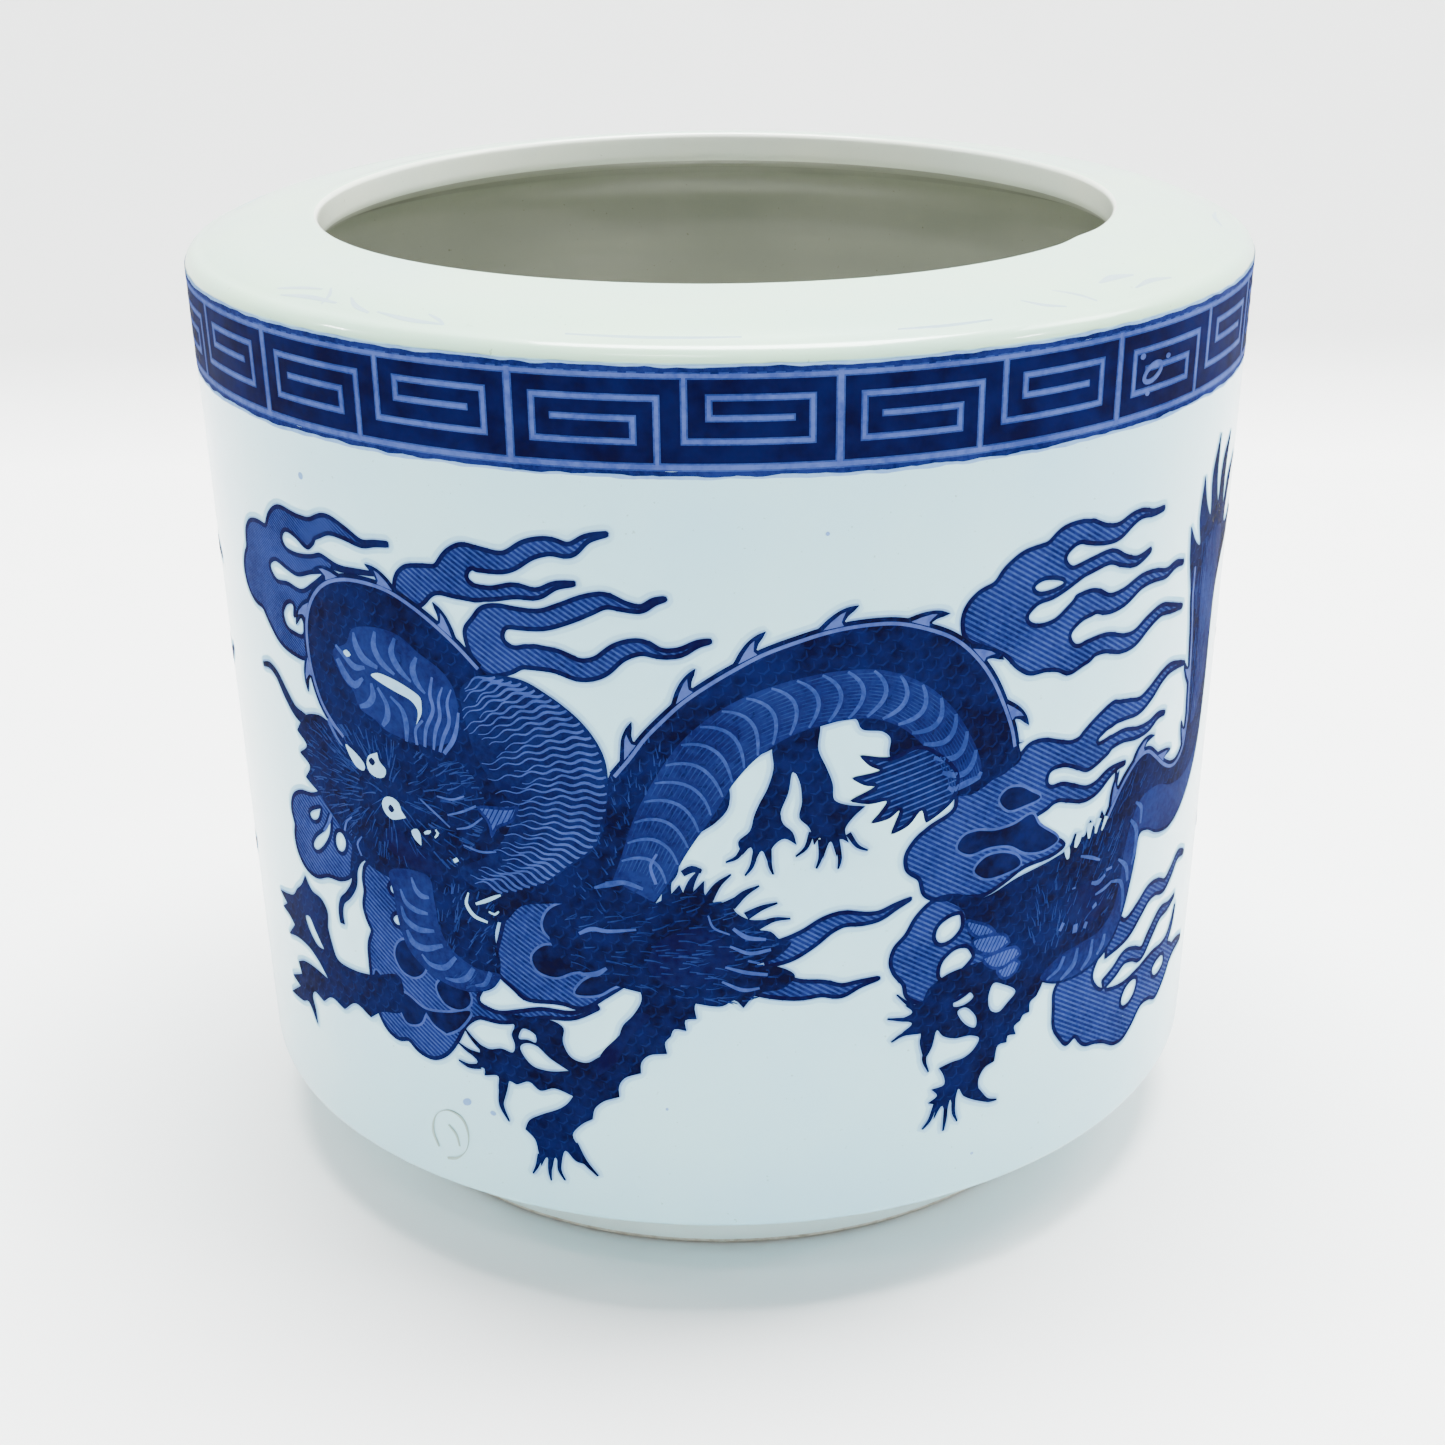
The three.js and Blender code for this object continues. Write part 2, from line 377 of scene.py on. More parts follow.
# Dragons: dark bodies, the paler bands on them, and claws.
BODIES = {
    "ring_and_head": """
        -54.5,74.8 -56.6,78 -57.8,82 -57.9,86 -56.7,89.6 -54.5,92.3 -51.5,94.2 -48,95.1 -44,95.3 -40,94.5
        -36.5,92.8 -33,90.4 -30,87.4* -28,86.2 -24.5,86.4 -21,84.8 -17.5,82.2 -15.4,79.5 -14.4,77 -14.2,73
        -14.5,70 -16,66 -19.5,63 -24,59.5 -29,57 -34,56 -40,56 -46,56 -51.5,57.5 -55,60.5 -59,63.8*
        -62,65* -60.6,67 -62.8,68.2* -60.8,69.8 -62.9,71.2* -61.4,73 -60,74.2 -57,75""",
    "neck": """
        -46,58 -45.6,54 -45.2,50.5 -44,47 -41.5,44.8 -38,43.3 -34,43.2 -30.5,44.8 -29.5,48 -30,52 -29,56
        -30,60 -38,60""",
    "throat": """
        -34,60 -28,62.4 -20,64.6 -15.6,64.4 -15,61 -17,58.6 -22,57.8 -26,56.8 -29,54 -32,56""",
    "left_claw": """
        -46,42 -50,41 -52,40.3* -55,39.8 -59,40 -60,42 -60.6,44* -60.3,46.5 -61.5,47.8 -64,48.2
        -65.5,49.7* -66.8,48 -68.6,46.6* -70,45.2 -72.5,44.3 -75.4,43.6* -73,42.6* -75,41.4* -72.5,41
        -71,40.2* -73.6,37.8* -70,38.7 -66.5,38.6 -64,37.5 -62,35.8* -66,36 -69,35.6 -71.2,34.6* -70.4,33*
        -74.2,31.2* -71.6,30.6* -75.6,28* -71,28.6 -69,29.3 -66.8,26.9* -67,29.2 -67.5,30.8 -66.5,32
        -64,31.6* -61.5,33.2 -58.5,32.7* -55.5,34.7 -52.5,33.8* -50,35.5 -46,37""",
    "middle_claw": """
        -3,48 -4.4,45.2 -4.2,43.4* -5.6,43.2 -5.5,41.7* -7,41.9 -7.5,40.8* -8.2,40 -8,38.4* -10.3,38
        -11.3,36.9 -11.4,35.4* -13.5,34.5 -14.3,33.2 -14.3,31.7* -16.4,30.8 -17.6,29.6 -18,28* -19.5,27
        -20.8,25.2 -20,23.4 -19.2,21.1* -20.6,21.4 -21.9,22.7 -22.8,19.9* -23.4,21.4 -24,19.5* -24.6,21.2
        -25.5,19.7* -25.8,21.8 -26.2,23.6 -27.5,24.8* -26.9,26.2 -25,27.5 -22.5,28.8 -21.3,29.8 -20.5,31*
        -23,31.7 -25,31 -26.5,32 -28.4,31.2 -29.3,31.5 -29.8,30 -30.5,27.9* -31.1,30 -31,31.8 -33.1,31.4*
        -33,32.4 -35.2,32.1* -34,33.2 -35.4,34.3* -33.6,34.4 -33.7,35.9* -32,35.5 -30.3,36 -28.6,35.8
        -28.2,37 -28.6,38.4 -28.1,39.8 -29.6,41 -26,41.4 -22.5,41.4 -21.3,40.6 -21.5,38.7 -20.5,36.6
        -18.5,36.1 -17,37 -15,38.5 -14.2,40 -13.5,42 -12.2,43.5 -11,46 -12,50 -6,50""",
    "arch": """
        -14.6,72 -14,75.5 -12,78 -10.2,80.6 -8,83 -5.5,85.4 -2.5,87.6 0.5,89.4 4,91.2 8,92.6 12,93.6 16,94
        20,93.8 24,92.6 27.5,90.8 30.5,88.2 33,84.8 35,81 36.4,77.5 37,75.2 37.4,73 34,71.6 30.5,70
        27.5,70.5 24,72 21,74 19.3,77 19.4,79 18.4,80 15.8,80.6 15,82 12,81.7 9.5,81 5.3,79 2.6,77.6
        0.2,75.2 0.2,73 -0.1,71.5 -1.5,69.8 -4.6,67.5 -5.8,65.2 -6.2,63 -8,60.5 -9.3,58.5 -10.5,57
        -15,56.5 -20,58.5 -19,62 -16.5,66 -15,70""",
    "small_head": """
        -22.5,53 -21,56.8 -16,58.6 -11,58.2 -9,59 -7.4,60 -6,61.6* -5.2,60.2 -3,62.2* -2.9,60.2 -1.5,59.2
        0.9,60.1* 0.5,58.4 2.2,57 4.9,56.8* 3.5,55.6 5,55.2 6.2,54 7.5,53.6 5.6,51.6 3.2,50.8* 6.4,50.2
        8,49 6.5,47.4 4,47 2.8,46.4 1.6,44.9* 0.5,46 -1,45.2 -4,45.5 -8,46.5 -11,46.8 -14.5,47.6 -17,48.6
        -20,49.5""",
    "hind_legs": """
        5.2,79.4 5.3,76.5 4.6,74 3.6,72 3,70.5 2.5,68.6 1.1,67.2 1.6,65.5* 2.6,66.5 3,64.3* 3.9,66
        4.6,64.5* 5.3,66.5 6.6,67.4 8.1,66.5* 7.6,68.2 6.5,69.3 6.2,70.5 7.2,73.2 7.8,75.8 8.4,74.5 8.7,72
        8.4,70 9.6,68.6 10.2,66.3* 10.9,67.2 11.3,64.4* 12.2,66.6 13,64.5* 13.4,66.8 14.5,66.2* 14,68
        15,69.5 16.4,70.7* 14,71.2 12.6,72 12.4,74 11.6,76.2 10.6,78.6 10.6,82 7,82""",
    "right_dragon": """
        27,56.8 30,54.5 31,51 33,48.2 35.5,46 38.5,43.4 42,41.4 46,39.6 50,39.2 54,39.8 57,41.4 59,44
        60.5,48 61.5,52 62.2,55.4 64,55.3 67,53.8 71,53 75,54 79,57 82,62 83,70 82.8,78 83.4,83 86,86.4
        88.6,88.4 90.4,92* 87.6,90.8 85.2,91.4 86.2,95 89,99.4* 85.2,97.4 83.4,94 82.6,98 83.8,103.6*
        80.6,100.4 79.8,95.4 78.2,98.8 77.8,104.8* 75.8,100 76.4,94.6 74.4,96.6 72.6,100.6* 72,95.4
        73,91.6 71.2,92.6 69.2,95* 69.8,90.6 71.4,85 72.2,81 73,76 73.6,71 74,67.6 73.4,64.4 72,63 70,63
        67.5,64.2 65,66.1 62.5,67.7 60,67.6 57,65.7 54.8,63 53.5,60.6* 52.6,62* 51.6,60 50.4,61.4*
        49.4,59.4 47.6,60.4* 46.6,58.7 44,58 38,57 33,55.6 30,56.6""",
    "right_claw": """
        43.5,41 42.6,39* 41.5,38.4 41.5,37* 40.4,36.9 40,36.2* 39,35.7 39.4,34.4* 38,34.6 37.9,33.7*
        36.5,33.7 36,31.5* 34.5,31 33.6,29.4 34,27.4 34.9,25.8* 32.8,26.8 31.3,27.8 30.6,29 29.9,25.8*
        29.4,27.7 28.8,24.9* 28.2,27.1 27,25.4* 27.2,27.4 26.1,28* 27.4,28.8 26.5,29.9* 28.4,30.2
        28.2,31.6 27.5,32.8* 29.2,33.2 31.2,33.4 32.6,34.2 33.4,35.6 32,36.4 29.6,36.6 27.8,37.4 27,38.4
        26.3,36 25.3,34.4* 24.6,37 24.6,38.6 22.1,39.1* 23.4,40.1 21.6,41* 23.4,41.7 22.3,42.9* 24.6,42.8
        25.5,44.5 28,46 31,46.5 34,46.5 37,45 40,44""",
}

# Gaps between the legs and claws.
BODY_HOLES = """
    -66.8,43.2 -65.5,43.7 -64.2,42.3 -62.2,40.1* -64,40 -66,41.5; -27.5,36.8 -26.5,37.6 -25,37.4
    -23.5,36.1 -20.9,34.6* -23.5,34.1 -26,34.5; -27.6,38 -26.9,39.6 -25.2,39 -25.2,37.9 -26.4,38.1;
    7.6,75.9 8.4,74.6 8.6,72.5 8,70.4 6.2,70.4 7.1,73.4; 29.2,41.3 29.7,42.6 31.4,42.8 32.2,41.9
    30.9,41.1; 29.9,40.4 31,40.7 32.8,38.7 32.7,37.4 31.2,38.2; 34.5,41 35.2,43 36.8,42.4 38.9,40.8
    37.6,39.5 36.3,38.6 35,39.2"""

TUFT = """
    23,77.6 19.5,76.6 15.6,77.3* 17,75.8 18.4,75.1 14.7,74.5* 16.5,73.4 17.8,73.2 14.5,71.6* 17,71
    19.3,71.1 18.6,69.9 17.2,68.4* 19.5,68.8 20.9,69.8 19.8,66.6* 22,67.5 23.7,69.3 24.3,67.4* 26.4,68.6
    28,70 28.5,73 25.5,76.4"""

SPINES = {
    "ring": """
        -52.2,73.5 -54,74.8 -56,77 -57.4,80.5 -57.8,84.5 -57.2,88 -55.4,91 -52.8,93.2 -49.4,94.5
        -45.5,94.9 -42,94.6 -38.7,93.4 -35.3,91.5 -32.3,89.3 -29.8,87""",
    "arch": """
        -13.4,75.3 -11.5,77.7 -9.7,80.2 -7.6,82.5 -5.1,84.9 -2.2,87 0.7,88.8 4.1,90.6 8.1,92 12,93 16,93.4
        19.9,93.2 23.8,92 27.2,90.3 30,87.8 32.5,84.5 34.4,80.8 35.8,77.4 36.4,75""",
    "right": """
        53.8,60.5 55.3,62.7 57.4,65.1 60.1,66.9 62.3,67 64.6,65.5 67.3,63.5 69.9,62.3 72,62.3 73.8,63.6
        74.6,67.6 74.2,71.1 73.6,76 72.8,81 72,85 71.8,89""",
}

# Where each fin starts along its spine, the size of the fins, and if they lean backwards.
FIN_STARTS = {
    "ring": ([3.4, 12.6, 21.6, 29.5, 37.0], 0.95, True),
    "arch": ([1.2, 10.7, 19.3, 29.6, 40.0, 49.2, 58.6, 64.8], 1.0, False),
    "right": ([0.6, 7.0, 13.6, 24.0, 33.0], 0.9, False),
}

# Whiskers, claws and tufts of hair, as dark strokes.
TENDRILS = """
    -33.6,34.2,.8 -35.2,34.4,.6 -36.8,35.2,.2; -33.4,35.4,.7 -34.6,36.4,.5 -35.6,37.6,.2; -33.6,32.6,.8
    -35.4,32.2,.6 -37,32.6,.2; -30.6,30,.9 -30.8,27.6,.7 -29.8,25.4,.2; -22.8,21.5,.7 -22.9,19.6,.5
    -22.2,18.2,.2; -24.1,21.2,.7 -24.3,19.2,.5 -24.2,17.8,.2; -25.6,21.4,.7 -26.1,19.6,.5 -26.8,18.3,.2;
    -20.6,24,.9 -19.4,21.6,.7 -17.6,19.6,.2; 1.8,66.6,.7 0.9,65.2,.5 -0.4,64.6,.2; 3.2,66,.7 2.7,64,.5
    1.9,62.8,.2; 4.8,66,.6 4.9,64,.5 5.3,62.8,.2; 11,67,.7 11,64.6,.5 10.5,63.2,.2; 13,66.6,.7
    13.4,64.2,.5 13.2,62.9,.2; 14.4,67.4,.7 15.6,65.6,.5 16.9,64.9,.2; 9.9,68,.7 9.2,66,.5 8,65,.2;
    29.9,27.6,.6 30,25.6,.5 30.6,24.2,.2; 28.8,27,.6 28.7,24.8,.5 28.5,23.3,.2; 27.2,27.6,.6 26.4,25.4,.5
    25.4,24.3,.2; 33.4,28,.8 35.2,26,.6 36.8,25.6,.2; 24.6,38.8,.7 22.2,38.8,.5 20.6,38,.2; 24,40.6,.7
    21.8,41,.5 20,41.4,.2; 24.2,42,.7 22.6,43.2,.5 21.2,44.6,.2; 26,37,.8 25.3,34.6,.6 26,32.6,.2;
    -7.6,59,1.4 -7.4,61.6,.9 -6.4,63.8,.2; -5.2,59.4,1.4 -4.6,61.8,.9 -3.4,63.8,.2; -2.6,59.6,1.3
    -1.4,61.6,.8 0.2,63,.2; 0.2,58.8,1.2 1.8,60.4,.8 3.6,61.4,.2; 2,57.4,1.1 3.8,58.4,.7 5.8,59,.2;
    3.4,56,1 5.4,56.8,.6 7.4,56.8,.2; -71.2,77.6,.6 -69,78.1,.9 -67,77.5,1.1 -65,75.6,1.4 -63,73.9,1.5
    -60.5,73.2,2; -50.6,58.6,2.6 -52,57,1.8 -52.8,55.3,1.3 -53.2,53,1.1 -54.7,50.9,1.1 -56.3,49.4,1
    -56.9,47.6,1 -56.8,46,1; -5.6,63.1,.8 -4.4,63.7,.9 -3.3,63.4,.5; 55,57.5,.8 55,61,.7 55,64,.6 55,67,.4"""

# The belly of the arched body, as a band of changing width.
BELLY = """
    -11.6,60.5,5.6 -9.8,64,6.6 -7.8,68.5,7.6 -5.2,73,8.2 -2.4,77.4,8 1.2,80.9,7.4 5,83.1,6.8 9,84.4,6.4
    13,85,6.2 17.5,84.8,6 21.4,83.2,5.8 24.6,80.6,5.6 27,77.4,5.4 28.8,74,5.2 29.5,71.6,4.8"""

# Mid-blue areas that lie over the dark bodies.
ZONES = """
    -52.6,84.6 -50.6,81 -49.5,80.5 -48.5,78.3 -46,77.4 -44.5,76.5 -42,76 -40.4,75.8 -37,76 -34.5,77 -33,80
    -33.4,84 -35,86 -38,87.6 -41,89.3 -45,89.5 -48.6,88.4 -49.8,86.4; -46,57 -45.6,54 -45.2,50.5 -44,47
    -41.5,44.8 -38,43.4 -34,43.3 -30.5,44.9 -29.6,46.6 -33,46.8 -36.5,48.5 -38.2,51 -38.8,55 -39.4,58;
    61.6,60.6 66,61 70,59.6 74,59 78,59.6 81,61.4 79.4,57.6 75,54.5 71,53.5 67,54.3 64,55.7 62,56 61.2,52
    60.2,48 58.8,44.4 56.6,41.8 53.6,40.2 50,39.6 46,40 43,41.4 46,43.4 50,44 54,44.4 56.8,46.4 58,50
    58.4,54 59.6,58; 76.4,66 78.4,66.6 80.6,70 81.8,76 82.6,84 83.4,91 80,92 76.6,91 75.2,86 76,79 76.8,72"""

# Pale edges of single plates.
PLATE_EDGES = """
    -48.3,88.1,.3 -48.1,86.6,1 -47,85.1,1.1 -44.7,84.4,.5; -44.6,89,.4 -45,87,.9 -44,85.3,.9 -42,84.1,.4;
    -41.5,88.8,.4 -42.2,86.8,.9 -41.2,85,.9 -39.5,83.7,.3; -38.4,87,.4 -39.1,85.4,.9 -38.6,83.7,.8
    -37.5,82.6,.3; -51.9,85.6,.4 -50.4,84.6,.7 -48.7,83.6,.9 -46.9,83.9,.4; -51.8,83.9,.8 -50.4,81.9,1.2
    -49,81.2,1 -47.4,82.4,.4; -46,82.1,.4 -45.9,80.5,.9 -46.9,79.2,.8 -48.4,78.5,.5; -45,81.8,.4
    -43.7,79.8,.7 -43.8,78.2,.9 -44.7,76.9,.5; -43,81.1,.3 -41.3,79.8,.6 -40.8,77.8,.8 -41,75.7,.4;
    -42.2,57.2,.3 -41.7,55.7,.7 -40.8,55,.8 -39.6,55.1,.4; -44.3,55,.3 -43.6,53.4,.7 -42,52.7,.8
    -40,52.7,.4; -44.4,52.6,.3 -43.9,51,.8 -42,50.1,.9 -39.2,50.5,.4; -43.8,49.4,.5 -42.9,47.9,1
    -41,47.6,.9 -38,48.8,.5; -41.6,46.6,.3 -40.4,45.6,.6 -38,45.7,.8 -36.1,47.6,.5; -38,44.2,.3
    -36.2,44.3,.6 -34.6,45.1,.8 -33.5,46.7,.6; -33.4,44.3,.3 -32,44.8,.6 -31,46.7,.6; 60.3,60.6,.3
    61.8,59.4,.7 62,57,.4; 59.4,58.4,.4 61,56.6,.8 61.2,53.6,.7 60.6,51.6,.3; 57.2,53.6,.3 59.2,51.9,.7
    59.9,49.6,.5; 55.9,50.9,.3 58.2,50,.6 59.1,47.4,.6 58.9,45.4,.3; 47.2,43.2,.6 46.4,41.8,.6
    44.2,40.8,.3; 49.8,43.5,.4 49.2,41.4,.9 46.8,39.9,.4; 52.8,43.7,.4 52.4,41.4,.8 50.8,39.9,.4;
    55.4,43.5,.5 55.1,42.2,.8 54,41,.4; -15,61.4,.3 -12.6,61.6,.6 -10.4,60.9,.4; -16.4,60.6,.3
    -14.6,61.2,.7 -13,61.5,.4"""

# Ribbed plates: four on the right dragon's chest, and the left dragon's ear.
PLATES = """
    30.4,53.1 31,51.4 32.6,50.1 35.2,50.2* 34,51.5 32,52.5; 31.5,49.9 32.2,48.4 34.8,47.3 37.5,48.2*
    36.6,49.6 34.5,50.1 32.6,50.3; 33.2,47.1 34.4,45.5 36.4,44.9 39.4,46* 38.6,47.3 36.4,47.5 34.6,47.3;
    35.5,44.9 36.7,43.2 38.5,43.5 39.4,44.8* 38.3,45.6 36.6,45; -31.2,69.1 -29,69.5 -27,69.7 -25.5,70.3*
    -26.6,68 -28.6,66.9 -29.5,65.4* -29.8,67.4"""

# The mane: its inner edge, its outer edge, and its ground.
MANE = """
    -32.4,84.4 -32,80.6 -31.6,77 -30.4,73.6 -28,71 -27.6,67.8 -29,64 -31.4,61 -33.4,58.8; -28,86.4
    -22,85.3 -17.7,82.2 -15,78.6 -14.4,74.4 -14.8,70.5 -16.2,66.3 -19.5,62.6 -25,59.4 -29,58"""

MANE_GROUND = """
    -30,86 -28,86.5 -24.5,86.4 -21,84.8 -17.5,82.2 -15.4,79.5 -14.4,77 -14.3,73 -14.6,70 -16,66 -19.5,63
    -23,60.4 -29,58.4 -33,58.4 -34.5,60 -30,63 -27,67 -26.4,70 -29,73 -31,76 -32,80 -32.4,84"""

# The hair strokes stay inside these areas.
HAIR_ZONES = """
    -4,44 -4,58 8,58 8,44; -60,57 -60,75 -53,76 -34,76 -34,88 -28,86.8 -24.5,86.2 -21,84.6 -17.5,82
    -15.6,79.3 -14.6,77 -14.4,73 -14.8,70 -16.2,66.2 -19.6,63.2 -24,59.6 -29,57.2 -34,56.4 -46,56.4;
    -40,75 -40,86 -31,86 -31,75; -20,48 -20,56 -10,56 -10,48; -12,53 -12,68 2,68 2,53; 44,44 44,58 58,58
    58,44"""

# Single hairs on the heads.
HAIRS = """
    0.4,55.8,.4 2,54.6,.6 4.4,54.2,.4; 0,53.4,.3 2.4,52.4,.5 5,52.8,.4; -0.6,50.6,.3 2,49.8,.5
    4.6,49.4,.4; -1,48.6,.3 1.6,47.4,.5 3.6,47.6,.3; 2.2,51.4,.3 3.6,51,.3; -36.3,84.9,.3 -36.8,82.6,.5
    -36.5,80.8,.5 -37.8,78,.5 -38.2,75.6,.4; -34.9,83.9,.2 -35.6,82.2,.4 -35.6,80,.5 -36.4,78,.5
    -36.9,75.5,.3; -33.7,83.8,.2 -34.4,82,.4 -34.3,79.6,.5 -35.3,77.4,.5 -36,75.4,.4; -32.9,81,.3
    -33.3,79,.5 -34,77.2,.6 -35.4,75.3,.5; -38.2,79,.3 -39.4,77.6,.4 -39.4,75.6,.4; -33.6,63.6,.2
    -31,63.2,.3 -29,63.6,.2; -34.4,65.6,.2 -32.6,66.2,.3 -30.6,67.8,.2; -35.6,67.2,.2 -33.6,68,.3
    -31.4,69.2,.3; -37,69.4,.2 -34.8,69.4,.3 -33,70.2,.2; -39.6,68.4,.2 -37.4,67,.3 -35.4,65.6,.2;
    -53.5,74.2,.3 -55,75,.5 -53.6,73,.4 -52.6,72.2,.2; -56.6,61.6,.5 -57.6,60,.4 -58.8,58.6,.3;
    -51,57.6,.3 -51.6,59,.3 -50.6,60.4,.2; -54,60.2,.3 -53.4,61.6,.3 -52.2,62.6,.2; -18.6,54.2,.4
    -17,55,.6 -15,54.9,.5 -11.4,55.4,.3; -18.6,48.6,.4 -16.6,48.9,.7 -15.3,49.8,.4; -8.6,65.6,.3
    -9.4,64,.4 -8.8,61.6,.4; -2.6,57.6,.2 -2,56,.3 0,55,.2; 46,47.2,.5 46.6,48.2,.6; 48.9,46,.9
    49,47.2,.8; 50.8,46,.7 51.2,46.8,.6; 52.2,48.4,.5 53,48.8,.6; 51.6,52.2,.4 53,51.8,.7 54.4,52.4,.4;
    52.6,50.2,.3 54.4,50.4,.5 56,50.9,.3; 54.6,53,.4 55.8,53,.4; 49,56.8,.3 51,56,.5 53,55,.3;
    47.8,52.6,.2 48.4,52.6,.3"""

# Eyes, teeth and other marks that show the white glaze.
WHITES = """
    -45.9,83.2 -44.8,83.7 -42.5,83.5 -40,82.8 -38.3,81.9 -38.2,81.1 -38.3,79.9 -39.2,78.3* -38.8,79.8
    -39,80.6 -39.8,81.3 -42,81.9 -44.5,82.6; -50.5,85.1 -49.9,85.5 -49.2,85 -49.9,84.6; -51.9,72.6
    -51.2,72.4 -49.6,71.6 -48.6,70.6 -48.9,69.9 -50.2,70.1 -51.3,71.3; -48.2,71 -47.7,72.2 -46.6,72.8
    -46.2,73* -45.9,71.9 -44.9,71 -45.3,70 -46.6,69.6 -47.8,70; -46.1,66.2 -45.5,67.2 -44.2,67.5 -43.2,67
    -42.9,66.1 -42.2,65.3* -43.4,64.8 -44.6,64.5 -45.7,65.1; -41.5,63.7 -40.6,64.2 -40.1,63.6 -40.1,62.1*
    -41,62.7"""

WHITE_STROKES = """
    -39.4,63.9,.3 -38.8,64.2,.5 -38.4,64.4,.2; -37.6,64.8,.2 -37.3,64.4,.35 -37.8,63.7,.2; -33.4,57.2,.2
    -33.8,55.6,.45 -32.8,54.2,.5 -30.9,53.7,.3; -32.4,55.9,.3 -31,56.6,.5 -29.4,57.5,.4 -28.8,57.8,.2;
    -30.6,55.2,.2 -29.8,55,.3 -29.2,55.5,.2; -35.2,61.1,.5 -34.6,61.5,.5; 48.4,60.3,.9 48.1,59.2,1
    47.8,58.4,.4; 50.4,61,1.2 50.3,59.9,.8 50.3,58.9,.3; 52.1,61.1,.9 51.7,60,.6 51.6,59.2,.3;
    53.6,60.9,.7 53.2,60,.5 52.8,59.2,.2; 46.2,58.8,.9 46.4,57.9,.8 46.5,57.2,.3"""

# Deep pools of blue on the heads and shoulders.
DEEPS = """
    -10,50 -9.4,53 -7,55 -3.4,55.8 -0.6,54 0.6,51.6 -1,49.4 -4.4,48 -8,48.2; -46,62.6 -44,63.6 -41.6,62
    -39,61 -37,59 -40,58.4 -44,59.4 -46.4,60.8; -17,34.6 -14.6,36.6 -12.6,40.4 -10,43.6 -11.4,44 -14,40.6
    -16.6,37.4; 47,50 50,52.6 53.6,51.8 55,48.8 53,46.4 49.4,46.4"""

PUPILS = """
    -47.8,71.5 -47.2,72.1 -46.6,71.6 -47.2,71; -45.1,65.9 -44.6,66.5 -44,65.9 -44.6,65.4"""

# Areas of combed hair or rough texture: the area, the centre it points away from, the
# length of its strokes and how many there are.
FUR = {
    "brow": ("""
        -60,66 -60.6,70 -59,73.6 -55,74.4 -50,75.6 -44,75.4 -38,74.6 -33,74.4 -30.4,71 -30,68 -32,64
        -35,60.4 -40,58.6 -46,58.6 -52,59.6 -56,62""",
        (-45.0, 67.6), 2.6, 330),
    "nape": ("""
        -38,43.6 -34,43.6 -31,45.4 -30,48.4 -30.4,52 -29.6,56 -33,58 -38,57 -38.4,52 -37,48.6 -34,47.2""",
        (-40, 40), 1.6, 90),
    "small_head": ("""
        -20,50 -21,55 -16,58 -9,58.6 -4,60.6 -0.4,59 2,56.6 6,53.6 4,51 6,48.6 1.6,45.6 -6,46.4 -14,48.2""",
        (-34.0, 51.0), 2.0, 150),
    "shoulder": ("""
        -19,60 -17,66 -15,71 -14,75 -10.5,79.4 -6.5,83.4 -4,81 -9,74 -12.4,67 -14,61 -12,57 -17,57.4""",
        (-8.0, 50.0), 1.3, 170),
    "right_flank": ("""
        44,44.6 48,45 54,46 57,49 57.6,55 58.6,62 63,62.6 60,65.6 56,62.6 52,60 46,57.6 42,56 40,50""",
        (44.0, 40.0), 1.8, 190),
    "right_neck": ("""
        74.6,66 78,68 80,74 80.6,82 81.6,92 76.6,92 73,91 73.6,80 75,72""",
        (77.0, 50.0), 3.4, 150),
}

# Faint blue brush streaks on top of the collar: u, distance in from the shoulder, width.
COLLAR_STREAKS = """
    -62,3.4,.3 -58,4.6,.6 -55,5.2,.2; -60,2.6,.2 -55,3.4,.7 -50,3.4,.3; -54,5.8,.2 -52.4,4.2,.5
    -52,2.8,.2; -49,4.8,.2 -47,3.6,.6 -44,2.8,.3; -43,3.2,.2 -38,2.7,.6 -33,2.6,.2; -36,4,.2 -34,3.2,.4
    -33,2.6,.2; 38,5.4,.2 40,4,.5 43,3,.2; 44,6.4,.2 46.4,4.6,.5 48,2.9,.3; 52,5.8,.3 55.4,6.2,1.2
    59,5.6,.3; 56,3.4,.2 60,3.8,.7 64,3.2,.2; 20,2.8,.2 26,2.7,.4 32,2.8,.2; -18,2.7,.2 -8,2.6,.4
    2,2.7,.2; 96,4.4,.2 101,5.2,.6 106,4.6,.2; -128,4,.2 -122,4.8,.6 -116,4.2,.2"""


# ------------------------------------------------------------------ flat shapes to thin solids

CUT_STEP = 2.0                    # the print is cut this fine, in millimetres, to wrap round
SINK = 0.02                       # how deep its solids reach into the glaze
SHORTEST_RIM = 1.5                # rims shorter than this get no edging
EDGE_STEP = 0.36                  # length of one piece of edging
SHORTEST_HATCH = 0.3              # shorter lines are left out of the hatching

# Edges of printed areas, inner part and outer part of the ribbon.
BLEED_UNDER = 0.1
NEAR_BLEED = 0.28
FAR_BLEED = 0.8
OUTLINE_OUTER = 0.08

# How far each layer of the print stands above the glaze, in millimetres.
LIFT = {
    "far_bleed": 0.008, "near_bleed": 0.016, "fret_bleed": 0.02, "wash": 0.03,
    "fret_foot_line": 0.04, "cloud_hatch": 0.045, "fret_head_line": 0.045,
    "fret_lines": 0.05, "fret_hearts": 0.06, "cloud_line": 0.06, "pool_line": 0.065,
    "pool": 0.07, "dragon_dark": 0.085, "scales": 0.095, "bands": 0.1, "deeps": 0.105,
    "tuft_hatch": 0.11, "fur": 0.11, "feathers": 0.112, "plates": 0.118, "hair": 0.12,
    "tuft_line": 0.12, "belly_plates": 0.12, "scar": 0.12, "ribs": 0.124, "spine": 0.125,
    "blister": 0.13, "whites": 0.135, "pupils": 0.145,
}


